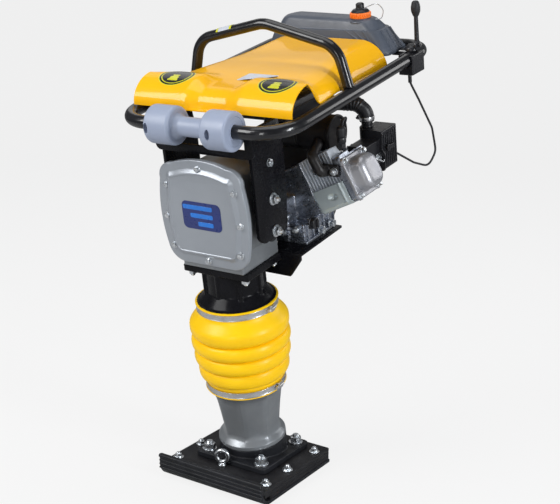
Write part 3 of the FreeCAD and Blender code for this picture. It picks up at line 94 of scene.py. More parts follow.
def middle(node, into=None):
    low, high = span(node, into)
    return (low + high) / 2


LEAN = leaning_frame()
SQUARE = Matrix.Scale(MM, 4)
SHAFT = LEAN.inverted() @ Vector(JOINTS["engine_turn"]["pos_m"])
CYLINDER_FOOT = Matrix.Translation((0, middle("engine_cylinder").y, SHAFT.z))
ENGINE = LEAN @ CYLINDER_FOOT @ Matrix.Rotation(ENGINE_RISE, 4, "Y")
WAYS = {
    "up": Matrix(),
    "down": Matrix.Rotation(math.pi, 4, "X"),
    "front": Matrix.Rotation(math.pi / 2, 4, "X"),
    "rear": Matrix.Rotation(-math.pi / 2, 4, "X"),
    "right": Matrix.Rotation(math.pi / 2, 4, "Y"),
    "left": Matrix.Rotation(-math.pi / 2, 4, "Y"),
}


def at(x=0, y=0, z=0, way="up", turn=0):
    """A place in a frame, with the local Z pointing along a way."""
    return Matrix.Translation((x, y, z)) @ WAYS[way] @ Matrix.Rotation(math.radians(turn), 4, "Z")


# ---------------------------------------------------------------- outlines

def ease(value):
    """0 to 1 with soft ends, held outside that range."""
    value = min(1, max(0, value))
    return value * value * (3 - 2 * value)


def turns(count):
    """Evenly spaced angles of a full turn."""
    return [2 * math.pi * step / count for step in range(count)]


def rounded(corners, closed=False, steps=6):
    """A path through corners (point, radius), with each inner corner turned into an arc."""
    points = [Vector(corner[0]) for corner in corners]
    path, count = [], len(points)
    for index, (corner, (_, radius)) in enumerate(zip(points, corners)):
        if radius <= 0 or (not closed and index in (0, count - 1)):
            path.append(corner)
            continue
        before, after = points[index - 1] - corner, points[(index + 1) % count] - corner
        half = before.angle(after) / 2
        if half > math.pi / 2 - 0.01:
            path.append(corner)
            continue
        run = min(radius / math.tan(half), 0.49 * before.length, 0.49 * after.length)
        reach = run * math.tan(half)
        centre = corner + (before.normalized() + after.normalized()).normalized() * (reach / math.sin(half))
        entry = corner + before.normalized() * run - centre
        leave = corner + after.normalized() * run - centre
        swing = entry.angle(leave)
        for step in range(steps + 1):
            share = step / steps
            spoke = entry * math.sin((1 - share) * swing) + leave * math.sin(share * swing)
            path.append(centre + spoke / math.sin(swing))
    return path


def flat(corners, closed=True, steps=6):
    """A flat outline from corners (x, y) or (x, y, radius)."""
    pairs = [((corner[0], corner[1]), corner[2] if len(corner) > 2 else 0) for corner in corners]
    return rounded(pairs, closed, steps)


def rectangle(half_x, half_y, corner, steps=8, centre=(0, 0)):
    x, y = centre
    signs = ((1, -1), (1, 1), (-1, 1), (-1, -1))
    return flat([(x + across * half_x, y + along * half_y, corner) for across, along in signs], True, steps)


def circle(radius, count=48):
    return [Vector((radius * math.cos(turn), radius * math.sin(turn))) for turn in turns(count)]


def inset(outline, distance):
    """The outline moved inwards (it runs counter-clockwise)."""
    if abs(distance) < 1e-9:
        return list(outline)
    result, count = [], len(outline)
    for index, point in enumerate(outline):
        before = (point - outline[index - 1])
        after = (outline[(index + 1) % count] - point)
        before = before.normalized() if before.length > 1e-9 else after.normalized()
        after = after.normalized() if after.length > 1e-9 else before
        normal = Vector((-before.y - after.y, before.x + after.x))
        if normal.length < 1e-9:
            normal = Vector((-after.y, after.x))
        normal.normalize()
        stretch = max(0.5, normal.dot(Vector((-after.y, after.x))))
        result.append(point + normal * (distance / stretch))
    return result


def soft_levels(low, high, edge, steps=4):
    """Levels (inset, height) of a plate whose two rims are rounded."""
    levels = []
    for step in range(steps + 1):
        turn = math.pi / 2 * step / steps
        levels.append((edge * (1 - math.sin(turn)), low + edge * (1 - math.cos(turn))))
    for step in range(steps, -1, -1):
        turn = math.pi / 2 * step / steps
        levels.append((edge * (1 - math.sin(turn)), high - edge * (1 - math.cos(turn))))
    return levels


# ---------------------------------------------------------------- solids in a bmesh

def add_rings(shape, rings, where=Matrix(), caps=True, wrap=False):
    """Skin a list of rings that have the same number of points."""
    made = [[shape.verts.new(where @ Vector(point)) for point in ring] for ring in rings]
    pairs = list(zip(made, made[1:]))
    if wrap:
        pairs.append((made[-1], made[0]))
    for lower, upper in pairs:
        for index in range(len(lower)):
            shape.faces.new((lower[index - 1], lower[index], upper[index], upper[index - 1]))
    if caps and not wrap:
        shape.faces.new(list(reversed(made[0])))
        shape.faces.new(made[-1])
    return made


def add_sheet(shape, rows):
    """Skin rows of vertices into an open sheet."""
    for lower, upper in zip(rows, rows[1:]):
        for index in range(len(lower) - 1):
            shape.faces.new((lower[index], lower[index + 1], upper[index + 1], upper[index]))


def add_stack(shape, outline, levels, where=Matrix()):
    """A solid made of one outline at levels (inset, height): plates, domes and raised panels."""
    rings = []
    for distance, height in levels:
        rings.append([(point.x, point.y, height) for point in inset(outline, distance)])
    add_rings(shape, rings, where)


def add_block(shape, low, high, edge=1.0, corner=None, where=Matrix()):
    """A block with rounded edges."""
    low, high = Vector(low), Vector(high)
    half = (high - low) / 2
    centre = (low + high) / 2
    outline = rectangle(half.x, half.y, corner or edge * 1.5, 5, centre.xy)
    add_stack(shape, outline, soft_levels(low.z, high.z, edge, 3), where)


def add_turned(shape, profile, where=Matrix(), sides=96, closed=False):
    """Revolve a profile of (radius, height) about the local Z."""
    rings = []
    for radius, height in profile:
        rings.append([(point.x, point.y, height) for point in circle(max(radius, 1e-4), sides)])
    add_rings(shape, rings, where, caps=not closed, wrap=closed)


def add_peg(shape, corners, where=Matrix(), sides=96, steps=3):
    """Revolve corners (radius, height, rounding) into a solid that is flat at both ends."""
    first, last = (AXIS, corners[0][1]), (AXIS, corners[-1][1])
    add_turned(shape, flat([first, *corners, last], False, steps), where, sides)


def add_tube(shape, path, radius, where=Matrix(), sides=20, width=None):
    """Sweep a round bar along a path; width(share) scales the radius along the way."""
    path = [path[0]] + [point for before, point in zip(path, path[1:]) if (point - before).length > 1e-6]
    heading = (path[1] - path[0]).normalized()
    across = heading.orthogonal().normalized()
    rings = []
    for index, point in enumerate(path):
        ahead = path[min(index + 1, len(path) - 1)] - path[max(index - 1, 0)]
        ahead.normalize()
        across = (across - ahead * across.dot(ahead)).normalized()
        side = ahead.cross(across)
        size = radius * (width(index / (len(path) - 1)) if width else 1)
        spokes = [across * math.cos(turn) + side * math.sin(turn) for turn in turns(sides)]
        rings.append([point + spoke * size for spoke in spokes])
    add_rings(shape, rings, where)


def dense(path, step):
    """The path with points no further apart than step."""
    result = [path[0]]
    for start, end in zip(path, path[1:]):
        count = max(1, math.ceil((end - start).length / step))
        result += [start.lerp(end, share / count) for share in range(1, count + 1)]
    return result


def add_hexagon(shape, radius, low, high, where=Matrix()):
    """A hexagon head or nut with its corners chamfered by a shallow cone."""
    corners = circle(radius, 6)
    outline = []
    for index, corner in enumerate(corners):
        following = corners[(index + 1) % 6]
        outline += [corner.lerp(following, share) for share in (0, 0.12, 0.3, 0.5, 0.7, 0.88)]
    rings = []
    inner = radius * 0.86
    for share, height in ((0.93, low), (1, low + 0.3), (1, None), (0.9, high)):
        ring = []
        for point in outline:
            reach = point.length
            place = point * share if share != 0.9 else point * (inner / reach)
            level = high - max(0, reach - inner) * 0.55 if height is None else height
            ring.append((place.x, place.y, level))
        rings.append(ring)
    add_rings(shape, rings, where)


def add_bolt(shape, where, head=6.5, high=6, washer=0, thick=1.6, stud=0, rise=0):
    """A washer, a hexagon head or nut, and the stud's end when it is a nut."""
    if washer:
        add_peg(shape, [(washer, 0, 0.5), (washer, thick, 0.5), (head * 0.6, thick)], where, 40)
    base = thick if washer else 0
    flange = head * 1.02
    add_peg(shape, [(flange, base), (flange, base + 0.5), (head * 0.8, base + 0.9)], where, 32)
    add_hexagon(shape, head, base + 0.4, base + high, where)
    if stud:
        thread = []
        level, pitch = base + high - 1, 1.25
        while level < base + high + rise - 1:
            thread += [(stud, level), (stud * 0.93, level + pitch / 2)]
            level += pitch
        thread.append((stud * 0.8, base + high + rise))
        add_peg(shape, thread, where, 24)
    else:
        dish = head * 0.45
        top = base + high
        rim = [(dish + 0.6, top - 0.5), (dish + 0.4, top + 0.35), (dish, top + 0.35), (dish - 0.3, top - 0.1)]
        add_peg(shape, rim, where, 24)


# ---------------------------------------------------------------- pieces

def link(name, mesh, material, sharp):
    item = bpy.data.objects.new(name, mesh)
    bpy.context.scene.collection.objects.link(item)
    mesh.materials.clear()
    mesh.materials.append(material)
    mesh.shade_smooth()
    mesh.set_sharp_from_angle(angle=math.radians(sharp))
    return item


def stand_for(item, nodes, body=None):
    """The piece rides on the body of the CAD nodes that it stands for."""
    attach(item, body or BODY_OF[nodes[0]])
    if nodes:
        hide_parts(*nodes)
    return item


def piece(name, shape, material, nodes=(), body=None, into=None, sharp=35, blended=None):
    """Turn a bmesh in millimetres into an object in the row frame."""
    bmesh.ops.remove_doubles(shape, verts=shape.verts, dist=0.0005)
    bmesh.ops.recalc_face_normals(shape, faces=shape.faces)
    mesh = bpy.data.meshes.new(name)
    shape.to_mesh(mesh)
    shape.free()
    mesh.transform(into or LEAN)
    item = link(name, mesh, material, sharp)
    if not blended:
        return stand_for(item, nodes, body)
    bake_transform(item)
    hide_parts(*nodes)
    return item


def fixture(name, shape, slot, sharp=35, into=None):
    """A fixed part of the machine's upper half that stands for no CAD node."""
    return piece(name, shape, FINISH[slot], body="housing", into=into, sharp=sharp)


def copy_mesh(node):
    """The CAD node's mesh with its split corners joined and its flat faces whole again."""
    shape = bmesh.new()
    shape.from_mesh(frame["nodes"][node].data)
    bmesh.ops.remove_doubles(shape, verts=shape.verts, dist=2e-6)
    bmesh.ops.dissolve_limit(shape, angle_limit=math.radians(0.4), verts=shape.verts, edges=shape.edges)
    mesh = bpy.data.meshes.new(node + "_shape")
    shape.to_mesh(mesh)
    shape.free()
    return mesh


def settle(item):
    """Apply the piece's modifiers."""
    graph = bpy.context.evaluated_depsgraph_get()
    mesh = bpy.data.meshes.new_from_object(item.evaluated_get(graph))
    item.modifiers.clear()
    item.data = mesh
    return mesh


def machined(node, material, edge=0.8, name=None):
    """A finished copy of a CAD node with its sharp edges broken by a small bevel."""
    item = link(name or node + "_finished", copy_mesh(node), material, 30)
    bevel = item.modifiers.new("Bevel", "BEVEL")
    bevel.width = edge * MM
    bevel.segments = 2
    bevel.limit_method = "ANGLE"
    bevel.angle_limit = math.radians(38)
    bevel.use_clamp_overlap = True
    mesh = settle(item)
    mesh.set_sharp_from_angle(angle=math.radians(35))
    return stand_for(item, [node])


def cast(node, material, voxel=1.5, passes=5, name=None):
    """A cast or moulded copy of a CAD node: every edge and inner corner is softened."""
    item = link(name or node + "_cast", copy_mesh(node), material, 180)
    remesh = item.modifiers.new("Remesh", "REMESH")
    remesh.mode = "VOXEL"
    remesh.voxel_size = voxel * MM
    smooth = item.modifiers.new("Smooth", "SMOOTH")
    smooth.factor = 0.5
    smooth.iterations = passes
    mesh = settle(item)
    mesh.shade_smooth()
    return stand_for(item, [node])


# ---------------------------------------------------------------- materials

def add_node(tree, kind, **settings):
    node = tree.nodes.new("ShaderNode" + kind)
    for name, value in settings.items():
        setattr(node, name, value)
    return node


def noise_node(tree, coordinates, scale, detail=4, rough=0.55, stretch=None):
    node = add_node(tree, "TexNoise")
    node.inputs["Scale"].default_value = scale
    node.inputs["Detail"].default_value = detail
    node.inputs["Roughness"].default_value = rough
    source = coordinates
    if stretch:
        mapping = add_node(tree, "Mapping")
        mapping.inputs["Scale"].default_value = stretch
        tree.links.new(coordinates, mapping.inputs["Vector"])
        source = mapping.outputs["Vector"]
    tree.links.new(source, node.inputs["Vector"])
    return node.outputs["Fac"]


def spread(tree, value, low, high, start=0.35, end=0.65):
    """Map a noise value to a range."""
    node = add_node(tree, "MapRange")
    for name, number in (("From Min", start), ("From Max", end), ("To Min", low), ("To Max", high)):
        node.inputs[name].default_value = number
    tree.links.new(value, node.inputs["Value"])
    return node.outputs["Result"]


def blend_colour(tree, share, first, second):
    node = add_node(tree, "Mix", data_type="RGBA")
    for socket, value in ((node.inputs[6], first), (node.inputs[7], second)):
        if isinstance(value, tuple):
            socket.default_value = (*value, 1)
        else:
            tree.links.new(value, socket)
    tree.links.new(share, node.inputs[0])
    return node.outputs[2]


def multiply(tree, first, second):
    node = add_node(tree, "Math", operation="MULTIPLY")
    for socket, value in zip(node.inputs, (first, second)):
        if isinstance(value, float):
            socket.default_value = value
        else:
            tree.links.new(value, socket)
    return node.outputs[0]


def edge_mask(tree, radius):
    """1 along outer edges, 0 on open faces."""
    bevel = add_node(tree, "Bevel", samples=4)
    bevel.inputs["Radius"].default_value = radius
    geometry = add_node(tree, "NewGeometry")
    dot = add_node(tree, "VectorMath", operation="DOT_PRODUCT")
    tree.links.new(bevel.outputs[0], dot.inputs[0])
    tree.links.new(geometry.outputs["Normal"], dot.inputs[1])
    return spread(tree, dot.outputs["Value"], 1.0, 0.0, 0.75, 0.97)


def top_mask(tree, coordinates, scale):
    """Dust lying on faces that look up, in patches."""
    geometry = add_node(tree, "NewGeometry")
    split = add_node(tree, "SeparateXYZ")
    tree.links.new(geometry.outputs["Normal"], split.inputs[0])
    up = spread(tree, split.outputs["Z"], 0.0, 1.0, 0.5, 1.0)
    patches = spread(tree, noise_node(tree, coordinates, scale, 6, 0.65), 0.0, 1.0, 0.4, 0.7)
    return multiply(tree, up, patches)


def finish_of(name, colour, rough=0.4, metal=0.0, second=None, mottle=18, vary=0.08, grain=None, fine=None,
              brushed=None, coat=0.0, coat_rough=0.05, wear=None, dust=None, sheen=0.0, peel=None, gloss=0.5):
    """One procedural finish.

    second and mottle give patches of another tone, vary the spread of roughness, grain and fine
    bumps as (scale, depth in mm), brushed a stretched grain, wear a worn edge as (colour, radius
    in mm, share), dust a pale film on top faces as (colour, share), peel a ripple in the coat,
    gloss the strength of the base's own reflection.
    """
    material = bpy.data.materials.new(name)
    material.use_nodes = True
    tree = material.node_tree
    shader = tree.nodes["Principled BSDF"]
    coordinates = add_node(tree, "TexCoord").outputs["Object"]
    patches = noise_node(tree, coordinates, mottle, 6, 0.6)
    shade = tuple(channel * 0.82 for channel in colour)
    result = blend_colour(tree, spread(tree, patches, 0.0, 1.0), colour, second or shade)
    streaks = noise_node(tree, coordinates, mottle * 4.7, 5, 0.65, brushed)
    roughness = spread(tree, streaks, rough - vary, rough + vary, 0.3, 0.7)
    if wear:
        chips = spread(tree, noise_node(tree, coordinates, 90, 5), 0.0, 1.0, 0.62 - wear[2] / 3, 0.72)
        mask = multiply(tree, edge_mask(tree, wear[1] * MM), chips)
        result = blend_colour(tree, mask, result, wear[0])
    if dust:
        mask = multiply(tree, top_mask(tree, coordinates, 22), dust[1])
        result = blend_colour(tree, mask, result, dust[0])
    tree.links.new(result, shader.inputs["Base Color"])
    tree.links.new(roughness, shader.inputs["Roughness"])
    shader.inputs["Metallic"].default_value = metal
    shader.inputs["Specular IOR Level"].default_value = gloss
    shader.inputs["Coat Weight"].default_value = coat
    shader.inputs["Coat Roughness"].default_value = coat_rough
    shader.inputs["Sheen Weight"].default_value = sheen
    normal = None
    for bump_size, stretch in ((grain, None), (fine, brushed)):
        if not bump_size:
            continue
        bump = add_node(tree, "Bump")
        bump.inputs["Distance"].default_value = bump_size[1] * MM
        tree.links.new(noise_node(tree, coordinates, bump_size[0], 5, 0.6, stretch), bump.inputs["Height"])
        if normal:
            tree.links.new(normal, bump.inputs["Normal"])
        normal = bump.outputs["Normal"]
    if normal:
        tree.links.new(normal, shader.inputs["Normal"])
    if peel:
        ripple = add_node(tree, "Bump")
        ripple.inputs["Distance"].default_value = peel[1] * MM
        tree.links.new(noise_node(tree, coordinates, peel[0], 2), ripple.inputs["Height"])
        tree.links.new(ripple.outputs["Normal"], shader.inputs["Coat Normal"])
    return material


BARE = (0.42, 0.43, 0.45)
DIRT = (0.34, 0.31, 0.27)
FINISH = {
    "shoe_steel": finish_of("shoe_black", (0.008, 0.009, 0.011), 0.4, 0.0, (0.018, 0.019, 0.023), 14, 0.12,
                            (260, 0.25), (1500, 0.05), wear=(BARE, 1.2, 0.35), dust=(DIRT, 0.01), gloss=0.2),
    "shoe_wood": finish_of("shoe_block_black", (0.008, 0.008, 0.010), 0.46, 0.0, (0.018, 0.018, 0.020), 30,
                           0.1, (340, 0.3), (900, 0.12), brushed=(1, 12, 12), dust=(DIRT, 0.01), gloss=0.2),
    "zinc": finish_of("zinc_plate", (0.72, 0.74, 0.76), 0.3, 1.0, (0.52, 0.55, 0.58), 60, 0.1, (500, 0.05)),
    "band": finish_of("stainless_band", (0.66, 0.66, 0.66), 0.3, 1.0, (0.5, 0.5, 0.51), 25, 0.08,
                      fine=(700, 0.03), brushed=(1, 1, 26)),
    "cast_grey": finish_of("cast_paint_grey", (0.27, 0.285, 0.30), 0.36, 0.5, (0.22, 0.235, 0.25), 10, 0.07,
                           (190, 0.14), (1100, 0.06), wear=((0.5, 0.52, 0.55), 1.0, 0.3)),
    "cover_grey": finish_of("cover_paint_grey", (0.35, 0.375, 0.41), 0.34, 0.45, (0.32, 0.345, 0.38), 8, 0.06,
                            (220, 0.08), (1300, 0.04)),
    "bright_cast": finish_of("bright_casting", (0.46, 0.49, 0.55), 0.3, 0.95, (0.24, 0.26, 0.31), 30, 0.12,
                             (420, 0.2), (1700, 0.06)),
    "shroud_zinc": finish_of("passivated_sheet", (0.60, 0.67, 0.68), 0.34, 0.55, (0.52, 0.60, 0.62), 8, 0.05,
                             (1500, 0.02)),
    "internal_steel": finish_of("machined_steel", (0.46, 0.46, 0.47), 0.25, 1.0, (0.33, 0.33, 0.34), 40, 0.1,
                                fine=(900, 0.02), brushed=(1, 1, 18)),
    "spring_steel": finish_of("oiled_spring", (0.10, 0.11, 0.13), 0.3, 0.8, (0.05, 0.055, 0.07), 60, 0.1,
                              (300, 0.08)),
    "yellow_rubber": finish_of("yellow_bellows", (1.0, 0.62, 0.003), 0.4, 0.0, (0.98, 0.58, 0.002), 9, 0.07,
                               (160, 0.08), (1600, 0.02), coat=0.08, coat_rough=0.2, gloss=0.25),
    "black_rubber": finish_of("black_rubber", (0.009, 0.009, 0.011), 0.4, 0.0, (0.017, 0.017, 0.019), 40, 0.1,
                              (400, 0.1), (1800, 0.04), gloss=0.4),
    "black_paint": finish_of("gloss_black", (0.004, 0.004, 0.005), 0.28, 0.0, (0.007, 0.007, 0.009), 20, 0.06,
                             coat=0.08, coat_rough=0.1, gloss=0.08),
    "hood_yellow": finish_of("hood_yellow_paint", (0.94, 0.48, 0.001), 0.42, 0.0, (0.91, 0.455, 0.001), 5,
                             0.04, coat=0.5, coat_rough=0.06, peel=(140, 0.1), gloss=0.12),
    "roller_plastic": finish_of("pale_roller", (0.30, 0.345, 0.46), 0.42, 0.0, (0.30, 0.345, 0.45), 22, 0.07,
                                (260, 0.10), (2200, 0.03), wear=((0.50, 0.55, 0.66), 1.5, 0.4)),
    "tank_plastic": finish_of("slate_tank", (0.070, 0.082, 0.108), 0.4, 0.0, (0.060, 0.072, 0.095), 12, 0.06,
                              (420, 0.08), (1500, 0.05)),
    "cap_orange": finish_of("cap_orange", (0.92, 0.20, 0.012), 0.36, 0.0, (0.86, 0.17, 0.01), 40, 0.06,
                            (900, 0.05)),
    "exhaust_black": finish_of("exhaust_black", (0.008, 0.008, 0.010), 0.42, 0.1, (0.016, 0.014, 0.013), 26,
                               0.1, (300, 0.12), (1500, 0.04), wear=((0.16, 0.12, 0.10), 1.0, 0.2),
                               gloss=0.35),
    "black_plastic": finish_of("moulded_black", (0.008, 0.008, 0.010), 0.34, 0.0, (0.014, 0.014, 0.017), 30,
                               0.08, (900, 0.07), (2600, 0.02), gloss=0.4),
}
TUBE_BLACK = finish_of("tube_black", (0.004, 0.004, 0.005), 0.3, 0.0, (0.006, 0.006, 0.008), 20, 0.03,
                       coat=0.6, coat_rough=0.07, gloss=0.25)
GRIP = finish_of("grip_rubber", (0.010, 0.010, 0.011), 0.5, 0.0, (0.016, 0.016, 0.018), 50, 0.08,
                 (1200, 0.15), sheen=0.1, gloss=0.3)
FIN_METAL = finish_of("fin_metal", (0.62, 0.66, 0.72), 0.5, 0.3, (0.50, 0.54, 0.60), 35, 0.1, (420, 0.1))
PRESSED_COVER = finish_of("pressed_cover", (0.40, 0.41, 0.45), 0.42, 0.8, (0.40, 0.40, 0.42), 12, 0.05,
                          (600, 0.05), (1500, 0.03))
STEEL_WIRE = finish_of("wire", (0.55, 0.57, 0.60), 0.3, 0.8, (0.4, 0.42, 0.45), 50, 0.1, (900, 0.05))
FILM = dict(rough=0.3, mottle=20, vary=0.05, grain=(900, 0.02), coat=0.5)
BADGE_BLUE = finish_of("badge_blue", (0.002, 0.17, 0.66), **FILM)
BADGE_DARK = finish_of("badge_dark_blue", (0.001, 0.016, 0.15), **FILM)
STICKER_BLACK = finish_of("sticker_black", (0.008, 0.009, 0.008), **FILM)
STICKER_LIME = finish_of("sticker_lime", (0.66, 0.66, 0.02), **FILM)
STICKER_WHITE = finish_of("sticker_white", (0.62, 0.66, 0.74), **FILM)
ROPE = finish_of("rope", (0.06, 0.06, 0.065), 0.8, 0.0, (0.12, 0.12, 0.12), 500, 0.1, (1800, 0.4), sheen=0.4)


# ---------------------------------------------------------------- shoe and foot

def make_shoe():
    machined("steel_shoe", FINISH["shoe_steel"], 1.6)
    make_shoe_ribs()
    low, high = span("shoe_block", SQUARE)
    width, layers = high.x - 1.5, 3
    shape = bmesh.new()
    nose = span("steel_shoe", SQUARE)[0].y + 8.5
    bend = 27.5
    for layer in range(layers):
        base = low.z + (high.z - low.z) * layer / layers
        top = low.z + (high.z - low.z) * (layer + 1) / layers
        drop = max(0, bend + low.z - base)
        ahead = nose + bend - math.sqrt(bend ** 2 - drop ** 2)
        ahead += 0.6 * (layers - layer)
        add_block(shape, (-width, ahead, base + 0.1), (width, high.y - 1.5, top - 0.1), 1.3, 3)
    piece("shoe_block_layers", shape, FINISH["shoe_wood"], ["shoe_block"], into=SQUARE, sharp=40)


def make_shoe_ribs():
    """Rolled ribs across the turned-up nose of the shoe, and its thick top rim."""
    low, high = span("steel_shoe", SQUARE)
    half = high.x - 0.5
    shape = bmesh.new()
    for height, reach in ((high.z - 4, 4.6), (high.z - 15, 2.6), (high.z - 24, 2.6), (high.z - 33, 2.6)):
        path = [Vector((-half, low.y + 1.4, height)), Vector((half, low.y + 1.4, height))]
        add_tube(shape, path, reach, sides=20)
    piece("shoe_nose_ribs", shape, FINISH["shoe_steel"], body="foot", into=SQUARE)


def solid_corners(node, into):
    """Lowest and highest corner of each of a node's separate solids, found by grouping joined vertices."""
    shape = bmesh.new()
    shape.from_mesh(frame["nodes"][node].data)
    bmesh.ops.remove_doubles(shape, verts=shape.verts, dist=2e-6)
    back = into.inverted()
    left, centres = set(shape.verts), []
    while left:
        group, todo = set(), [left.pop()]
        while todo:
            vertex = todo.pop()
            group.add(vertex)
            for edge in vertex.link_edges:
                other = edge.other_vert(vertex)
                if other in left:
                    left.discard(other)
                    todo.append(other)
        points = [back @ vertex.co for vertex in group]
        low = Vector(min(point[axis] for point in points) for axis in range(3))
        high = Vector(max(point[axis] for point in points) for axis in range(3))
        centres.append((low, high))
    shape.free()
    centres.sort(key=lambda pair: tuple(round(number, 1) for number in pair[0]))
    return centres


def bolt_set(name, node, into, seat, *sizes):
    """A zinc bolt or nut for each solid of a node; seat(low corner, middle) gives its place."""
    shape = bmesh.new()
    for low, high in solid_corners(node, into):
        add_bolt(shape, seat(low, (low + high) / 2), *sizes)
    piece(name, shape, FINISH["zinc"], [node], into=into, sharp=30)


def make_foot():
    cast("foot_casting", FINISH["shoe_steel"], 1.6, 4)
    bolt_set("shoe_bolt_set", "shoe_bolts", SQUARE,
             lambda low, centre: at(centre.x, centre.y, low.z, turn=centre.x), 8.5, 7, 12.5, 1.8, 4.5, 4)
    bolt_set("foot_nut_set", "foot_nuts", SQUARE,
             lambda low, centre: at(centre.x, centre.y, low.z, turn=centre.y), 14, 12, 17, 2.5, 8, 6)
    low, high = span("lifting_eye_bolt", SQUARE)
    centre = (low + high) / 2
    wire = 4.8
    ring = (high.x - low.x) / 2 - wire
    shape = bmesh.new()
    middle_z = high.z - ring - wire
    path = [Vector((ring * math.cos(turn), 0, ring * math.sin(turn))) for turn in (*turns(64), 2 * math.pi)]
    add_tube(shape, path, wire, at(centre.x, centre.y, middle_z, turn=20), 20)
    foot = [(9.5, 0, 1), (9.5, 4, 1.5), (6, 5.5, 2), (4.6, 9)]
    add_peg(shape, foot, at(centre.x, centre.y, low.z), 32, 4)
    piece("eye_bolt", shape, FINISH["zinc"], ["lifting_eye_bolt"], into=SQUARE)


# ---------------------------------------------------------------- leg and bellows

def octagon_reach(turn, flat_half, corner):
    """Radius of a rounded octagon at an angle."""
    sector = math.pi / 4
    off = (turn + sector / 2) % sector - sector / 2
    sharp = flat_half / math.cos(off)
    blunt = flat_half * 1.035
    return sharp + (min(sharp, blunt) - sharp) * corner


def make_leg():
    low, high = span("leg_sleeve")
    foot, head = low.z, high.z
    shape = bmesh.new()
    sides = 192
    tube_low, tube_high = span("spring_cylinder")
    bore = (tube_low.x + tube_high.x) / 2 + (tube_high.x - tube_low.x) / 2 + 0.4
    lip = high.x
    levels = [
        (foot, 78, 1), (foot + 2, 79, 1), (foot + 9, 78.5, 1), (foot + 13, 75, 0.92),
        (foot + 17, 69, 0.72), (foot + 21, 65.5, 0.4), (foot + 26, 63.5, 0.12), (foot + 32, 62.8, 0),
        (foot + 60, 66, 0), (foot + 90, 70, 0), (head - 36, 74, 0), (head - 26, 76.5, 0.15),
        (head - 18, 80, 0.5), (head - 12, 86, 0.85), (head - 9, lip - 1.5, 1), (head - 7, lip, 1),
        (head - 4.5, lip, 1), (head - 4, lip - 1, 1), (head - 3.5, 86, 1), (head, 86, 1),
    ]
    rings = []
    for height, reach, round_share in levels:
        ring = []
        for turn in turns(sides):
            eight = octagon_reach(turn, reach, 0.35)
            size = eight + (reach - eight) * round_share
            ring.append((size * math.cos(turn), size * math.sin(turn), height))
        rings.append(ring)
    for height in (head, foot):
        rings.append([(bore * math.cos(turn), bore * math.sin(turn), height) for turn in turns(sides)])
    add_rings(shape, rings, wrap=True)
    piece("leg_sleeve_cast", shape, FINISH["cast_grey"], ["leg_sleeve"], sharp=28)


def bellows_profile():
    """(radius, height) up the outside of the bellows and down its inside."""
    low, high = span("bellows")
    base, top = low.z, high.z
    collar, bore = 90.3, 86.3
    outer = [(collar + 2.6, base), (collar + 3.0, base + 0.8), (collar + 2.2, base + 2), (collar, base + 2.4),
             (collar, base + 17.5), (collar + 1.6, base + 19)]
    waists = [(base + 19, 91), (base + 28, 91.5), (base + 64, 95), (base + 100, 99), (base + 135, 101)]
    crowns = [92.5, 104, 110, 113]
    for (start, first), (end, last), crown in zip(waists, waists[1:], crowns):
        for step in range(0, 21):
            share = step / 20
            lift = math.sqrt(max(0, 1 - (2 * share - 1) ** 2)) ** 0.85
            root = first + (last - first) * share
            outer.append((root + (crown - root) * lift, start + (end - start) * share))
    start, shoulder = waists[-1][0], top - 19
    for step in range(0, 33):
        share = step / 32
        bulge = math.sqrt(max(0, 1 - (1 - min(1, share / 0.34)) ** 2))
        crown = 113 - 1.5 * share
        fall = ease((share - 0.42) / 0.58) ** 1.1
        reach = waists[-1][1] + (crown - waists[-1][1]) * bulge
        outer.append((reach - (reach - collar - 1.2) * fall, start + (shoulder - start) * share))
    outer += [(collar, shoulder + 1.2), (collar, top - 3.8), (collar + 2.6, top - 3.4),
              (collar + 3.2, top - 2.4), (collar + 3.2, top - 0.8), (collar + 2.4, top), (bore, top)]
    inner = [(bore, shoulder)]
    for radius, height in reversed(outer):
        if base + 26 < height < shoulder - 4:
            inner.append((max(bore, radius - 5), height))
    inner += [(bore, base + 18), (bore, base)]
    return outer + inner


def make_bellows():
    shape = bmesh.new()
    profile = bellows_profile()
    add_turned(shape, profile, sides=144, closed=True)
    low, high = span("bellows")
    start = LEAN @ Vector((0, 0, low.z + 19))
    end = LEAN @ Vector((0, 0, high.z - 20))
    stretch = ("foot", "housing", start, end)
    piece("rubber_bellows", shape, FINISH["yellow_rubber"], ["bellows"], sharp=70, blended=stretch)
    for node in ("lower_clamp", "upper_clamp"):
        make_clamp(node)


def make_clamp(node):
    """Worm-drive band: rolled rims, a slotted tail under the screw housing."""
    low, high = span(node)
    reach, wide = 92.1, high.z - low.z
    shape = bmesh.new()
    base = low.z
    top = base + wide
    band = flat([(reach - 1.6, base), (reach + 0.3, base, 0.3), (reach + 0.5, base + 1.2, 0.4),
                 (reach, base + 1.9, 0.4), (reach, top - 1.9, 0.4), (reach + 0.5, top - 1.2, 0.4),
                 (reach + 0.3, top, 0.3), (reach - 1.6, top)], True, 3)
    add_turned(shape, band, sides=144, closed=True)
    centre = base + wide / 2
    add_block(shape, (reach - 1, -8, base - 0.6), (reach + 5, 8, base + wide + 0.6), 0.8, 1.6)
    screw = at(reach + 4.5, -13, centre, "rear")
    add_peg(shape, [(3.6, 0), (3.6, 22, 1)], screw, 20, 4)
    add_hexagon(shape, 4.4, -5, 0.5, screw)
    for count in range(9):
        turn = math.radians(8 + 2.2 * count)
        where = Matrix.Rotation(turn, 4, "Z") @ at(reach + 0.4, 0, centre)
        add_block(shape, (-0.5, -0.45, -wide * 0.28), (0.5, 0.45, wide * 0.28), 0.2, 0.2, where)
    piece(node + "_band", shape, FINISH["band"], [node], sharp=30)


# ---------------------------------------------------------------- crankcase

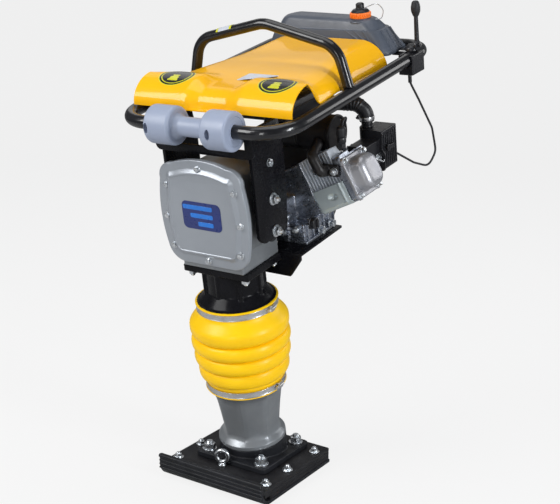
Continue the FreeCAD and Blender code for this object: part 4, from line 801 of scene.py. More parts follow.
def case_outline():
    """Front outline of the gear housing, counter-clockwise seen from the front."""
    low, high = span("crankcase_cover")
    half, top, foot = high.x, high.z, low.z
    side = half - 1
    corners = [(66, foot, 0), (side, foot + 38, 44), (side, top - 44, 332), (72, top - 7, 32),
               (-72, top - 7, 222), (-side, top - 44, 32), (-side, foot + 38, 332), (-66, foot, 44)]
    outline = []
    for (x0, y0, _), (x1, y1, radius) in zip([corners[-1]] + corners[:-1], corners):
        start, end = Vector((x0, y0)), Vector((x1, y1))
        if not radius:
            outline += [start.lerp(end, share / 12) for share in range(1, 13)]
            continue
        chord = end - start
        reach = math.sqrt(max(0, radius ** 2 - (chord.length / 2) ** 2))
        centre = (start + end) / 2 + Vector((-chord.y, chord.x)).normalized() * reach
        first, last = start - centre, end - centre
        swing = first.angle_signed(last)
        count = 20
        for step in range(1, count + 1):
            turn = -swing * step / count
            outline.append(centre + Matrix.Rotation(turn, 2) @ first)
    return outline


def make_crankcase():
    cast("crankcase", FINISH["cast_grey"], 1.6, 5)
    low, high = span("crankcase_cover")
    back, front = -high.y, -low.y
    outline = case_outline()
    face = back + 11
    raised = front - 0.8
    levels = [(0, back), (0, face - 1.6), (0.5, face - 0.5), (1.8, face), (17, face), (18.8, face + 0.5),
              (25.6, raised - 1.0), (26.6, raised - 0.25), (28, raised), (29.6, raised), (30.2, raised - 0.3),
              (30.8, raised - 1.1), (31.6, raised - 1.3)]
    shape = bmesh.new()
    add_stack(shape, outline, levels, at(0, 0, 0, "front"))
    piece("crankcase_cover_cast", shape, FINISH["cover_grey"], ["crankcase_cover"], sharp=60)
    bolt_set("cover_screw_set", "cover_screws", LEAN,
             lambda _, centre: at(centre.x, -face, centre.z, "front", centre.x * 3), 6.2, 5.5, 8, 1.4)
    panel = -(raised - 1.3)
    shape = bmesh.new()
    add_stack(shape, rectangle(50, 31, 12, 8, (0, 668)), soft_levels(0, 0.9, 0.4), at(0, panel, 0, "front"))
    piece("badge_plate", shape, BADGE_DARK, body="housing")
    shape = bmesh.new()
    for step in range(3):
        bar = rectangle(38 - 9 * step, 5, 3, 5, (9 * step - 9, 686 - 18 * step))
        add_stack(shape, bar, soft_levels(0.5, 1.4, 0.3), at(0, panel, 0, "front"))
    piece("badge_bars", shape, BADGE_BLUE, body="housing")


def make_mounts():
    """Rubber buffers with bonded steel discs, and their bolts."""
    buffers, bolts = bmesh.new(), bmesh.new()
    low, high = span("rubber_mounts")
    inner, outer = 84, high.x
    for side, way in ((1, "right"), (-1, "left")):
        for height in (high.z - 26, low.z + 26):
            where = at(side * inner, (low.y + high.y) / 2, height, way)
            long = outer - inner
            add_peg(buffers, [(25.5, 0), (25.5, 2.5), (24.5, 3), (22.5, long / 2, 20), (24.5, long - 3),
                              (25.5, long - 2.5), (25.5, long)], where, 56, 6)
            disc = flat([(23.5, 15.6), (27.2, 15.6, 0.5), (27.2, 18, 0.5), (23.5, 18)], True, 3)
            add_turned(bolts, disc, where, 56, closed=True)
            plate = at(side * (outer + 8), (low.y + high.y) / 2, height, way, 12)
            add_bolt(bolts, plate, 10.5, 8.5, 13.5, 2.6, 5, 6)
        top = at(side * (outer + 8), (low.y + high.y) / 2, span("mount_bolts")[1].z - 9, way, 8)
        add_bolt(bolts, top, 8.6, 6, 0)
    for low_end, high_end in solid_corners("mount_bolts", LEAN):
        centre = (low_end + high_end) / 2
        if centre.z < low.z:
            add_bolt(bolts, at(centre.x, centre.y, high_end.z, "down", centre.x), 9, 8, 0, 0, 5, 5)
    piece("buffer_set", buffers, FINISH["black_rubber"], ["rubber_mounts"])
    piece("mount_bolt_set", bolts, FINISH["zinc"], ["mount_bolts"], sharp=30)


def make_frame():
    machined("frame_plates", FINISH["black_paint"], 1.4)
    machined("engine_bracket", FINISH["black_paint"], 1.2)
    cast("guide_cylinder", FINISH["black_paint"], 1.8, 4)
    for node in ("handle_loop", "carry_arch"):
        cast(node, TUBE_BLACK, 2.2, 3)
    make_arch_label()


def make_arch_label():
    """A plain label wrapped over the arch's left slope, with lime ends."""
    centre_y = middle("carry_arch").y
    tube, lift, thick, half_turn = 12.5, 0.35, 0.5, 62
    wrap = tube + lift
    start, end = Vector((-122, centre_y, 980)), Vector((-80, centre_y, 990))
    heading = (end - start).normalized()
    out = Vector((-heading.z, 0, heading.x))
    angles = [math.radians(half_turn * (step / 6 - 1)) for step in range(13)]
    spokes = [out * math.cos(turn) + Vector((0, -math.sin(turn), 0)) for turn in angles]
    band = [spoke * wrap for spoke in spokes] + [spoke * (wrap - thick) for spoke in reversed(spokes)]
    for name, finish, stretches in (("arch_label", STICKER_WHITE, [(0.14, 0.86)]),
                                    ("arch_label_ends", STICKER_LIME, [(0, 0.14), (0.86, 1)])):
        shape = bmesh.new()
        for stretch in stretches:
            add_rings(shape, [[start.lerp(end, share) + point for point in band] for share in stretch])
        piece(name, shape, finish, body="housing")


def dress(node, material):
    """Give a CAD node that keeps its own shape its finish."""
    item = frame["nodes"][node]
    item.data.materials.clear()
    item.data.materials.append(material)


def make_roller():
    low, high = span("transport_roller")
    half = (high.x - low.x) / 2
    centre = (low + high) / 2
    collar = (high.z - low.z) / 2
    shoulder, waist, hole = 40, collar / 2, 14.9
    side = [(hole, -half), (hole + 3, -half), (hole + 3.5, -half + 1.5), (collar * 0.72, -half + 1.5),
            (collar * 0.76, -half), (collar, -half, 10), (collar, -shoulder, 8),
            (waist + 6, -shoulder + 1, 6), (waist, -shoulder + 12, 10)]
    corners = side + [(corner[0], -corner[1], *corner[2:]) for corner in reversed(side)]
    shape = bmesh.new()
    add_turned(shape, flat(corners, True, 7), at(0, centre.y, centre.z, "right"), 112, closed=True)
    item = piece("roller_body", shape, FINISH["roller_plastic"], ["transport_roller"], sharp=32)
    cutter_shape = bmesh.new()
    oval = [Vector((point.x * 0.52, point.y)) for point in circle(11, 28)]
    for x in (-95, 62):
        add_stack(cutter_shape, oval, [(0, 22), (0, 62)], at(x, centre.y, centre.z + 2, "front"))
    mesh = bpy.data.meshes.new("cutter")
    cutter_shape.to_mesh(mesh)
    cutter_shape.free()
    mesh.transform(LEAN)
    cutter = bpy.data.objects.new("cutter", mesh)
    bpy.context.scene.collection.objects.link(cutter)
    boolean = item.modifiers.new("Holes", "BOOLEAN")
    boolean.operation = "DIFFERENCE"
    boolean.object = cutter
    boolean.solver = "EXACT"
    mesh = settle(item)
    mesh.set_sharp_from_angle(angle=math.radians(32))
    bpy.data.objects.remove(cutter)


# ---------------------------------------------------------------- hood

HUMP_RISE = 17
CREST_ALONG = 72
CREST_SPREAD = 19
TAIL_TAPER = 34
EDGE_STEP = 22


def quarter(depth, reach):
    """Rise over a quarter of an ellipse, from 0 to 1."""
    share = min(1, max(0, depth / reach))
    return math.sqrt(1 - (1 - share) ** 2)


def hood_edge(v):
    """Height of the hood's lower edge, which drops between the tubes where the hood narrows."""
    return HOOD_LOW.z + 3 + EDGE_STEP * (1 - ease((v - HOOD_LOW.y - 190) / 120))


def hood_half(v):
    """Half the hood's width, less towards the tail."""
    return HOOD_HIGH.x - TAIL_TAPER * ease((v - HOOD_LOW.y - 80) / 290)


def hood_height(x, v):
    """Outer skin: a flat panel that runs forward between two round humps, which are open at the sides."""
    hump = ease((abs(x) - 30) / 42)
    front = HOOD_LOW.y + 12 * (1 - hump)
    crest_v = HOOD_LOW.y + CREST_ALONG - CREST_SPREAD * (1 - hump)
    panel = HOOD_HIGH.z - HUMP_RISE
    crest = panel + HUMP_RISE * hump
    if v < crest_v:
        foot = HOOD_LOW.z + 25
        height = foot + (crest - foot) * quarter(v - front, crest_v - front)
    else:
        height = panel + 0.02 * (v - crest_v) + HUMP_RISE * hump * (1 - ease((v - crest_v) / 75))
    fall = ease((v - HOOD_LOW.y - 65) / 50)
    shoulder = quarter(hood_half(v) - abs(x), 70)
    edge = hood_edge(v)
    return edge + (height - edge) * (1 - fall * (1 - shoulder))


def hood_point(across, along):
    """A point of the skin; across runs from side to side in -1..1, along from front to tail in 0..1."""
    turn = math.pi / 2 * across
    share = 0.45 * across + 0.55 * math.sin(turn)
    nose = 0.2
    if along < nose:
        v = HOOD_LOW.y + CREST_ALONG * (1 - math.cos(math.pi / 2 * along / nose))
    else:
        behind = HOOD_HIGH.y - HOOD_LOW.y - CREST_ALONG
        v = HOOD_LOW.y + CREST_ALONG + behind * (along - nose) / (1 - nose)
    x = share * hood_half(v)
    return Vector((x, v, hood_height(x, v)))


def make_hood():
    shape = bmesh.new()
    columns, rows = 150, 190
    grid = []
    for row in range(rows + 1):
        places = [hood_point(2 * column / columns - 1, row / rows) for column in range(columns + 1)]
        grid.append([shape.verts.new(place) for place in places])
    add_sheet(shape, grid)
    item = piece("hood_shell", shape, FINISH["hood_yellow"], ["hood"], sharp=80)
    mesh = item.data
    up = sum(polygon.normal.z for polygon in mesh.polygons)
    if up < 0:
        mesh.flip_normals()
    solid = item.modifiers.new("Thickness", "SOLIDIFY")
    solid.thickness = 2.6 * MM
    solid.offset = -1
    solid.use_even_offset = True
    settle(item)
    item.data.set_sharp_from_angle(angle=math.radians(50))
    make_stickers()


def hood_film(centre, outline, lift):
    """Skin points for an outline of offsets (across, along) round a place, measured on the skin."""
    points = []
    for offset in outline:
        x, v = centre[0] + offset.x, centre[1]
        left, way = abs(offset.y), math.copysign(1, offset.y)
        while left > 0.05:
            here, there = hood_height(x, v), hood_height(x, v + way * 0.2)
            step = math.hypot(0.2, there - here)
            part = min(1, left / step)
            v += way * 0.2 * part
            left -= step * part
        slope_v = (hood_height(x, v + 0.3) - hood_height(x, v - 0.3)) / 0.6
        slope_x = (hood_height(x + 0.3, v) - hood_height(x - 0.3, v)) / 0.6
        normal = Vector((-slope_x, -slope_v, 1)).normalized()
        points.append(Vector((x, v, hood_height(x, v))) + normal * lift)
    return points


def drape(shape, centre, outline, lift):
    """A thin film that lies on the hood, with its rim turned down to the paint."""
    rings = [hood_film(centre, outline, 0.02)]
    for share in (0.995, 0.85, 0.7, 0.55, 0.4, 0.25, 0.1):
        rings.append(hood_film(centre, [point * share for point in outline], lift))
    made = add_rings(shape, rings, caps=False)
    shape.faces.new(made[-1])


def make_stickers():
    """Plain stickers: dark ovals with a lime rim on the humps and a pale label in the valley."""
    lime, black, white = bmesh.new(), bmesh.new(), bmesh.new()
    for x in (-120, 138):
        centre = (x, HOOD_LOW.y + 57)
        for shape, wide, lift in ((lime, 44, 0.25), (black, 41.5, 0.4), (lime, 37, 0.55), (black, 34.5, 0.7)):
            drape(shape, centre, [Vector((point.x, point.y * 0.82)) for point in circle(wide, 48)], lift)
        for step in range(3):
            bar = rectangle(13 - 2 * step, 2.6, 1.2, 3, (0, -18 + 9 * step))
            drape(lime, centre, bar, 0.85)
    drape(white, (38, HOOD_LOW.y + 130), rectangle(38, 26, 4, 5), 0.3)
    piece("hood_ovals", black, STICKER_BLACK, body="housing")
    piece("hood_oval_rims", lime, STICKER_LIME, body="housing")
    piece("hood_label", white, STICKER_WHITE, body="housing")


# ---------------------------------------------------------------- fuel tank

def make_tank():
    low, high = span("fuel_tank")
    shape = bmesh.new()
    rise = high.z - low.z
    levels = [
        (0, 168, -168, 448, 548, 14), (2, 169, -169, 447, 549, 16), (7, 169, -169, 447, 549, 18),
        (9, 167, -167, 449, 547, 18), (30, 154, -158, 451, 541, 22), (52, 140, -149, 453, 535, 26),
        (54, 139, -148, 453.5, 534, 26), (55, 133, -143, 457, 531, 26), (58, 131, -141, 458, 530, 26),
        (70, 121, -134, 461, 526, 30), (74, 117, -130, 463, 523, 30), (77, 111, -124, 467, 518, 30),
        (rise, 98, -112, 476, 509, 18),
    ]
    rings = []
    for step, right, left, front, rear, corner in levels:
        centre = ((right + left) / 2, (front + rear) / 2)
        outline = rectangle((right - left) / 2, (rear - front) / 2, corner, 10, centre)
        ring = []
        for point in outline:
            hump = 4.5 * math.exp(-((point.x + 95) / 34) ** 2)
            ring.append((point.x, point.y, low.z + step + hump * max(0, step - 60) / 18))
        rings.append(ring)
    add_rings(shape, rings)
    for x in (60, 92, 124):
        foot = 168 - (168 - x) * 0.1
        top = x * 0.72 + 12
        path = [Vector((foot - 22, low.y + 1.5, low.z + 9)), Vector((top, low.y + 8, low.z + 54))]
        add_tube(shape, dense(path, 6), 3.2, sides=14)
    for v in (474, 498, 522):
        path = [Vector((166, v, low.z + 9)), Vector((139, 494 + (v - 494) * 0.8, low.z + 53))]
        add_tube(shape, dense(path, 6), 3.2, sides=14)
    neck = middle("fuel_cap")
    filler = [(31, 0, 2), (29, 4, 2), (24.5, 5), (24.5, 9)]
    add_peg(shape, filler, at(neck.x, neck.y, high.z - 8), 48, 4)
    piece("tank_shell", shape, FINISH["tank_plastic"], ["fuel_tank"], sharp=38)
    make_cap()
    make_tank_fittings()


def make_cap():
    low, high = span("fuel_cap")
    centre = (low + high) / 2
    radius = (high.x - low.x) / 2
    shape = bmesh.new()
    outline = []
    teeth = 30
    for turn in turns(teeth * 8):
        wave = 0.5 + 0.5 * math.cos(teeth * turn)
        outline.append(Vector((math.cos(turn), math.sin(turn))) * (radius - 1.7 * wave ** 2))
    rings = []
    for share, height in ((0.95, 1), (1, 2), (1, 11), (0.985, 12.6), (0.94, 13.6), (0.86, 14), (0.4, 14)):
        rings.append([(point.x * share, point.y * share, height) for point in outline])
    seat = at(centre.x, centre.y, low.z - 1)
    add_rings(shape, rings, seat)
    piece("cap_skirt", shape, FINISH["cap_orange"], ["fuel_cap"], sharp=40)
    shape = bmesh.new()
    knob = [(21.5, 12), (21.5, 15.5, 2), (17, 20, 3), (11.5, 21.5, 2),
            (9.5, 24, 2), (9.5, 32.5, 3), (6, 35, 2)]
    add_peg(shape, knob, seat, 56, 5)
    for turn in turns(6):
        add_block(shape, (8, -1.6, 21), (10.8, 1.6, 32), 0.8, 1, seat @ Matrix.Rotation(turn, 4, "Z"))
    piece("cap_knob", shape, FINISH["black_plastic"], body="cap")
    shape = bmesh.new()
    path = rounded([((12, -4, 22), 0), ((42, 6, 34), 14), ((56, 12, 16), 14), ((50, 10, -4), 8),
                    ((30, 4, -5), 0)], False, 8)
    add_tube(shape, dense(path, 3), 1.0, at(centre.x, centre.y, low.z), 10)
    piece("cap_tether", shape, STEEL_WIRE, body="cap")


def make_tank_fittings():
    """Brackets between tank and handle tubes, fuel tap, and the hose down to the carburettor."""
    low = span("fuel_tank")[0]
    shape = bmesh.new()
    for side in (-1, 1):
        add_block(shape, (side * 176 - 18, 486, low.z - 6), (side * 176 + 18, 512, low.z - 2.5), 0.8, 3)
        add_bolt(shape, at(side * 162, 499, low.z - 2.5), 6, 5, 9, 1.4)
    fixture("tank_brackets", shape, "black_paint")
    tap = middle("fuel_tap")
    low_end = span("carburettor")[0]
    shape = bmesh.new()
    path = rounded([((tap.x, tap.y + 2, tap.z), 0), ((tap.x - 60, tap.y - 20, tap.z - 16), 16),
                    ((20, 405, 780), 40), ((20, 385, 690), 40), ((70, 380, 672), 20),
                    ((low_end.x + 6, 385, 672), 0)], False, 10)
    add_tube(shape, dense(path, 5), 3.6, sides=14)
    fixture("fuel_hose", shape, "black_rubber")
    shape = bmesh.new()
    add_peg(shape, [(5.5, -5, 1), (5.5, 7.5, 1)], at(tap.x, tap.y, tap.z + 1), 28)
    add_block(shape, (-15, -4.2, -5), (18, 4.2, -1.2), 1.2, 4, at(tap.x, tap.y, tap.z))
    piece("tap_lever", shape, FINISH["black_plastic"], ["fuel_tap"])


# ---------------------------------------------------------------- engine

def make_valve_cover():
    low, high = span("valve_cover", ENGINE)
    shape = bmesh.new()
    centre = ((low.x + high.x) / 2, (low.y + high.y) / 2)
    base = rectangle((high.x - low.x) / 2, (high.y - low.y) / 2, 16, 8, centre)
    add_stack(shape, base, soft_levels(low.z, low.z + 8, 1.6))
    dome = rectangle((high.x - low.x) / 2 - 8.5, (high.y - low.y) / 2 - 8.5, 28, 14, centre)
    rise = high.z - low.z
    levels = [(-2.5, low.z + 7), (-0.6, low.z + 8.4), (0, low.z + 12), (1.6, high.z - 0.36 * rise)]
    for step in range(1, 9):
        turn = math.pi / 2 * step / 8
        levels.append((1.6 + 17 * (1 - math.cos(turn)), high.z - 0.34 * rise * (1 - math.sin(turn))))
    levels += [(24, high.z - 0.05)]
    add_stack(shape, dome, levels)
    for x in (low.x + 7, high.x - 7):
        for y in (low.y + 7, high.y - 7):
            add_peg(shape, [(9.5, low.z + 3), (8.6, low.z + 10, 1.2)], at(x, y), 28, 4)
    piece("valve_cover_pressed", shape, PRESSED_COVER, ["valve_cover"], into=ENGINE, sharp=50)
    seat = low.z + 9.5
    bolt_set("valve_bolt_set", "valve_cover_bolts", ENGINE,
             lambda _, centre: at(centre.x, centre.y, seat, turn=centre.y), 6, 5.5, 8, 1.4)


def make_engine():
    cast("engine_block", FINISH["bright_cast"], 1.8, 4)
    cast("clutch_housing", FINISH["black_paint"], 1.6, 4)
    machined("engine_cylinder", FIN_METAL, 0.35)
    cast("cylinder_head", FINISH["bright_cast"], 1.2, 3)
    make_valve_cover()
    cast("exhaust_pipe", FINISH["exhaust_black"], 1.2, 3)
    make_muffler()
    make_shroud()
    make_fan_case()
    make_carburettor()
    make_engine_fittings()


def make_engine_fittings():
    """Ribs, bolt bosses and oil plugs on the outside of the crankcase casting."""
    low, high = span("engine_block")
    shape = bmesh.new()
    right, front = 118, low.y + 3
    for step in range(4):
        z = low.z + 9 + 10 * step
        add_block(shape, (70, front - 2.5, z - 1.5), (right + 1.5, front + 4, z + 1.5), 0.8, 1)
    for step in range(6):
        y = front + 14 + 22 * step
        add_block(shape, (right - 3, y - 2, low.z + 1), (right + 3.5, y + 2, low.z + 42), 0.9, 1)
    add_block(shape, (60, front - 1, low.z), (right + 6, high.y - 8, low.z + 7), 1.5, 3)
    bosses = ((62, 632), (80, 604), (30, 640), (104, 578), (70, 566))
    for x, z in bosses:
        add_peg(shape, [(9, -4), (8, 8, 1.4)], at(x, front - 4, z, "front"), 26, 4)
    fixture("crankcase_ribs", shape, "bright_cast", 40)
    shape = bmesh.new()
    for x, z in bosses:
        add_bolt(shape, at(x, front - 12, z, "front", x), 6, 5, 8, 1.4)
    for y in (front + 60, front + 104):
        add_bolt(shape, at(right + 5, y, low.z + 14, "right"), 9, 9, 11, 1.6)
    fixture("crankcase_bolts", shape, "zinc", 30)
    shape = bmesh.new()
    cap = [(15, 0, 1), (15, 3), (13, 4, 1), (13, 13, 2), (7, 15, 2)]
    add_peg(shape, cap, at(right + 1, front + 30, low.z + 42, "right"), 40, 4)
    add_block(shape, (right + 12, front + 28, low.z + 32), (right + 20, front + 32, low.z + 52), 1, 1.5)
    fixture("oil_filler_plug", shape, "black_plastic")


def make_muffler():
    low, high = span("muffler")
    centre = (low + high) / 2
    radius, long = (high.z - low.z) / 2, high.x - low.x
    profile = flat([
        (AXIS, 3), (radius - 10, 3, 2), (radius - 7, 0.3, 2), (radius - 0.6, 0.6, 2), (radius, 5, 1.5),
        (radius - 1.6, 7, 1), (radius - 1.6, long / 2 - 4, 1), (radius - 0.2, long / 2 - 2.4, 1),
        (radius - 0.2, long / 2 + 2.4, 1), (radius - 1.6, long / 2 + 4, 1), (radius - 1.6, long - 8, 1),
        (radius, long - 6, 1.5), (radius - 0.4, long - 0.8, 1.5), (radius - 5, long - 0.2, 1.5),
        (radius - 7, long - 4, 1.5), (AXIS, long - 3.2)], False, 4)
    shape = bmesh.new()
    add_turned(shape, profile, at(low.x, centre.y, centre.z, "right"), 96)
    piece("muffler_can", shape, FINISH["exhaust_black"], ["muffler"], sharp=38)
    nuts = bmesh.new()
    for end in (-1, 1):
        seat = at(-40 + 9.7 * end, -58.4, 208 + 20.8 * end, "front", 20)
        add_bolt(nuts, seat, 8.4, 7.6, 0, 0, 3.5, 5)
    fixture("exhaust_nuts", nuts, "zinc", 30, into=ENGINE)
    bracket = bmesh.new()
    add_block(bracket, (low.x - 20, 198, 655), (96, 203, 734), 1, 10)
    fixture("muffler_bracket", bracket, "exhaust_black", 30)


def make_shroud():
    """Sheet-metal air guide beside the fins: bent rims, a pressed dimple and a pressed bead."""
    low, high = span("air_shroud", ENGINE)
    shape = bmesh.new()
    wide, tall = high.x - low.x, high.z - low.z
    columns, rows = 40, 56
    grid = []
    for row in range(rows + 1):
        line = []
        for column in range(columns + 1):
            x = low.x + wide * column / columns
            z = low.z + tall * row / rows
            dent = math.hypot((x - low.x - wide * 0.45) / 9, (z - low.z - tall * 0.55) / 15)
            press = 5 * (1 - ease(dent)) if dent < 1 else 0
            rim = 7 * ease(1 - (high.x - x) / 9) + 4 * ease(1 - (z - low.z) / 7)
            bead = 1.6 * math.exp(-((z - low.z - tall * 0.86) / 3) ** 2)
            line.append(shape.verts.new((x, low.y + press + rim - bead, z)))
        grid.append(line)
    add_sheet(shape, grid)
    item = piece("air_shroud_sheet", shape, FINISH["shroud_zinc"], ["air_shroud"], into=ENGINE, sharp=60)
    solid = item.modifiers.new("Thickness", "SOLIDIFY")
    solid.thickness = 1.4 * MM
    settle(item)


def make_fan_case():
    cast("fan_shroud", FINISH["black_plastic"], 1.8, 5)
    low, high = span("recoil_cover")
    centre = (low + high) / 2
    reach = (high.x - low.x) / 2
    base, depth = low.y, high.y - low.y
    hub = at(0, base, centre.z, "rear")
    shape = bmesh.new()
    profile = flat([
        (reach - 4, 0), (reach, 0, 1), (reach, 8, 3), (reach - 17, depth - 5, 6), (reach - 27, depth - 1, 5),
        (34, depth, 2), (31, depth - 4, 2), (AXIS, depth - 4), (AXIS, depth - 7), (reach - 29, depth - 4, 5),
        (reach - 20, depth - 8, 6), (reach - 4, 7, 2)], False, 5)
    add_turned(shape, profile + [profile[0]], hub, 112)

    def on_rim(turn, out, up):
        return hub @ Matrix.Rotation(turn, 4, "Z") @ Matrix.Translation((out, 0, up))

    for turn in turns(26):
        add_block(shape, (-17, -1.6, -1), (15, 1.6, 1.4), 0.7, 1.5, on_rim(turn, 57, depth - 1.4))
    lugs = [turn + 0.4 for turn in turns(3)]
    for turn in lugs:
        add_block(shape, (-7, -7, 0), (5, 7, 12), 1.6, 4, on_rim(turn, reach - 6, 0))
    piece("recoil_cover_moulded", shape, FINISH["black_plastic"], ["recoil_cover"], sharp=40)
    shape = bmesh.new()
    for turn in lugs:
        add_bolt(shape, on_rim(turn, reach - 7, 12), 4.6, 4, 6, 1)
    add_peg(shape, [(9, 0), (9, 3, 1), (4, 4.4, 1)], at(0, base + depth - 4.5, centre.z, "rear"), 32, 4)
    fixture("recoil_screws", shape, "zinc", 30)
    make_starter()


def make_starter():
    low, high = span("starter_grip")
    centre_y, centre_z = (low.y + high.y) / 2, (low.z + high.z) / 2
    shape = bmesh.new()
    rings = []
    for step in range(17):
        share = step / 16
        pinch = 1 - 0.22 * math.sin(math.pi * share) + 0.05 * math.cos(6 * math.pi * share)
        end = math.sqrt(max(0.08, 1 - abs(2 * share - 1) ** 6))
        height = low.z + (high.z - low.z) * share
        ring = []
        for point in circle(1, 32):
            ring.append((low.x + 8 + 8 * point.x * end, centre_y + 11.5 * pinch * point.y * end, height))
        rings.append(ring)
    add_rings(shape, rings)
    add_peg(shape, [(6.5, 0, 1.5), (4.6, 11, 1)], at(low.x + 14, centre_y, centre_z, "right"), 24, 4)
    piece("starter_handle", shape, FINISH["black_plastic"], ["starter_grip"])
    shape = bmesh.new()
    path = dense([Vector((low.x + 20, centre_y, centre_z)), Vector((-92, centre_y, centre_z))], 2)
    add_tube(shape, path, 2.2, sides=12)
    piece("starter_rope", shape, ROPE, body="starter")


def make_carburettor():
    low, high = span("carburettor")
    cast("carburettor", FINISH["black_plastic"], 1.2, 3)
    shape = bmesh.new()
    x, y = low.x + 26, low.y + 16
    for height in (0, 15, 34, 48):
        place = at(low.x + 3.4, y + 10 + height * 0.9, high.z - 60 + (height % 20), "left")
        add_peg(shape, [(4.5, 0, 0.6), (4.5, 3.4, 0.6)], place, 18)
    for offset in ((-12, 26), (12, 26), (-12, 42), (12, 42)):
        add_bolt(shape, at(x + offset[0], low.y + 7.5, high.z - 80 + offset[1], "front", 20), 4.6, 4, 6, 1)
    add_peg(shape, [(8, 0, 1), (8, 22, 1), (5, 24)], at(x - 4, low.y + 26, low.z - 6), 26)
    add_block(shape, (x - 20, low.y + 10, high.z - 96), (x - 17, low.y + 52, high.z - 84), 0.6, 2)
    fixture("carburettor_fittings", shape, "zinc", 30)
    make_choke_ribs(low, high)
    make_intake()
    make_filter()
    make_plug()
    make_choke_lever()


def make_choke_lever():
    """A hub on the choke shaft, the arm and its thumb tab."""
    low, high = span("choke_lever")
    right, rear, y, z = high.x, high.y, low.y + 12, (low.z + high.z) / 2
    shape = bmesh.new()
    add_peg(shape, [(3, -4), (3, 0), (8, 0, 1), (8, 4.5, 1.5)], at(right - 5, y, z, "right"), 28, 4)
    add_block(shape, (right - 4.5, y - 5, z - 5), (right - 1, rear, z + 5), 1, 3)
    add_block(shape, (right - 5, rear - 6, z - 6), (right, rear, z + 6), 1.4, 2)
    piece("choke_tab_moulded", shape, FINISH["black_plastic"], ["choke_lever"])


def make_choke_ribs(low, high):
    """Moulded ribs, a thin front flange and the zinc throttle linkage beside the choke box."""
    shape = bmesh.new()
    front, foot = high.y - 70, low.z + 18
    for step in range(7):
        y = front + 9 + 9 * step
        add_block(shape, (high.x - 3, y - 1.3, foot + 6), (high.x + 2, y + 1.3, foot + 84), 0.6, 1)
    outline = [(-24, 0, 6), (32, 4, 6), (34, 44, 8), (26, 58, 4), (30, 96, 8), (-20, 100, 6)]
    flange = at(high.x - 27, front + 2, foot - 4, "front")
    add_stack(shape, flat(outline, True, 5), soft_levels(0, 3.5, 0.6), flange)
    fixture("choke_ribs", shape, "black_plastic", 35)
    shape = bmesh.new()
    path = rounded([((3, 4, 30), 0), ((6, -10, 26), 4), ((4, -34, 40), 4), ((-10, -40, 44), 0)], False, 5)
    add_tube(shape, dense(path, 2), 1.5, at(high.x, front, foot), 12)
    add_block(shape, (high.x - 8, front - 20, foot + 20), (high.x - 5, front + 1, foot + 44), 0.6, 2)
    add_bolt(shape, at(high.x - 5, front - 9, foot + 34, "right"), 5, 4, 7, 1.2)
    fixture("throttle_linkage", shape, "zinc", 35)


def make_intake():
    """Rubber elbow from the choke box up to the filter, with its clamps."""
    low, high = span("intake_hose")
    radius = 17
    foot_x, foot_y, top = high.x - radius, high.y - radius, high.z - radius
    path = rounded([((foot_x, foot_y, low.z), 0), ((foot_x, foot_y, top - 24), 26),
                    ((foot_x - 20, foot_y - 8, top - 4), 26),
                    ((foot_x - 98, foot_y - 34, top), 0)], False, 12)
    ribs = bmesh.new()
    path = dense(path, 1.2)
    count = len(path)

    def width(share):
        ring = 0.5 + 0.5 * math.cos(share * count * 1.2 / 9 * 2 * math.pi)
        middle_part = ease((share - 0.30) / 0.06) * (1 - ease((share - 0.62) / 0.06))
        return 0.94 + 0.06 * ring * middle_part

    add_tube(ribs, path, radius + 0.8, sides=44, width=width)
    piece("intake_elbow", ribs, FINISH["black_rubber"], ["intake_hose"], sharp=50)
    clamps = bmesh.new()
    for index in (7, count - 9):
        ahead = (path[index + 1] - path[index - 1]).normalized()
        where = Matrix.Translation(path[index]) @ ahead.to_track_quat("Z", "Y").to_matrix().to_4x4()
        inner, outer = radius - 1.4, radius + 0.9
        band = flat([(inner, -4.5), (outer, -4.5, 0.4), (outer, 4.5, 0.4), (inner, 4.5)], True, 3)
        add_turned(clamps, band, where, 56, closed=True)
        add_block(clamps, (radius, -6, -5), (radius + 6, 6, 5), 0.8, 1.2, where)
        screw = where @ at(radius + 4, 9, 0, "front")
        add_peg(clamps, [(3, 0, 0.4), (3, 18, 0.4)], screw, 18)
    fixture("intake_clamps", clamps, "band", 30)


def make_filter():
    low, high = span("air_filter")
    shape = bmesh.new()
    half = (high - low) / 2
    outline = rectangle(half.x, half.y, 16, 8, ((low.x + high.x) / 2, (low.y + high.y) / 2))
    levels = [(3, low.z), (1, low.z + 1), (0, low.z + 3), (0, low.z + 20), (-1.5, low.z + 21),
              (-1.5, low.z + 25), (0, low.z + 26), (1, high.z - 8), (3, high.z - 3),
              (7, high.z), (14, high.z)]
    add_stack(shape, outline, levels)
    for count in range(9):
        x = low.x + 18 + (high.x - low.x - 36) * count / 8
        add_block(shape, (x - 1.6, low.y - 0.9, low.z + 4), (x + 1.6, low.y + 3, low.z + 18), 0.6, 0.8)
        add_block(shape, (x - 1.6, high.y - 3, low.z + 4), (x + 1.6, high.y + 0.9, low.z + 18), 0.6, 0.8)
    piece("air_filter_box", shape, FINISH["black_plastic"], ["air_filter"])


def make_plug():
    low, high = span("spark_plug")
    centre = (low + high) / 2
    shape = bmesh.new()
    add_hexagon(shape, 9.5, 2, 11, at(centre.x, centre.y, low.z))
    add_peg(shape, [(8, 0), (8, 14)], at(centre.x, centre.y, low.z), 30)
    tall = high.z - low.z
    boot = [(9.5, 12, 1), (10.2, 20, 1), (8.8, 24, 1), (10.4, 28, 1), (10.6, tall - 6, 4), (7, tall - 1, 3)]
    add_peg(shape, boot, at(centre.x, centre.y, low.z), 36, 4)
    lead = rounded([((0, 0, -8), 0), ((-4, 16, 6), 10), ((-16, 52, 2), 20), ((-40, 66, -42), 20),
                    ((-78, 70, -90), 0)], False, 8)
    add_tube(shape, dense(lead, 4), 3.6, at(centre.x, centre.y, high.z), 14)
    piece("plug_boot", shape, FINISH["black_rubber"], ["spark_plug"])


# ---------------------------------------------------------------- controls

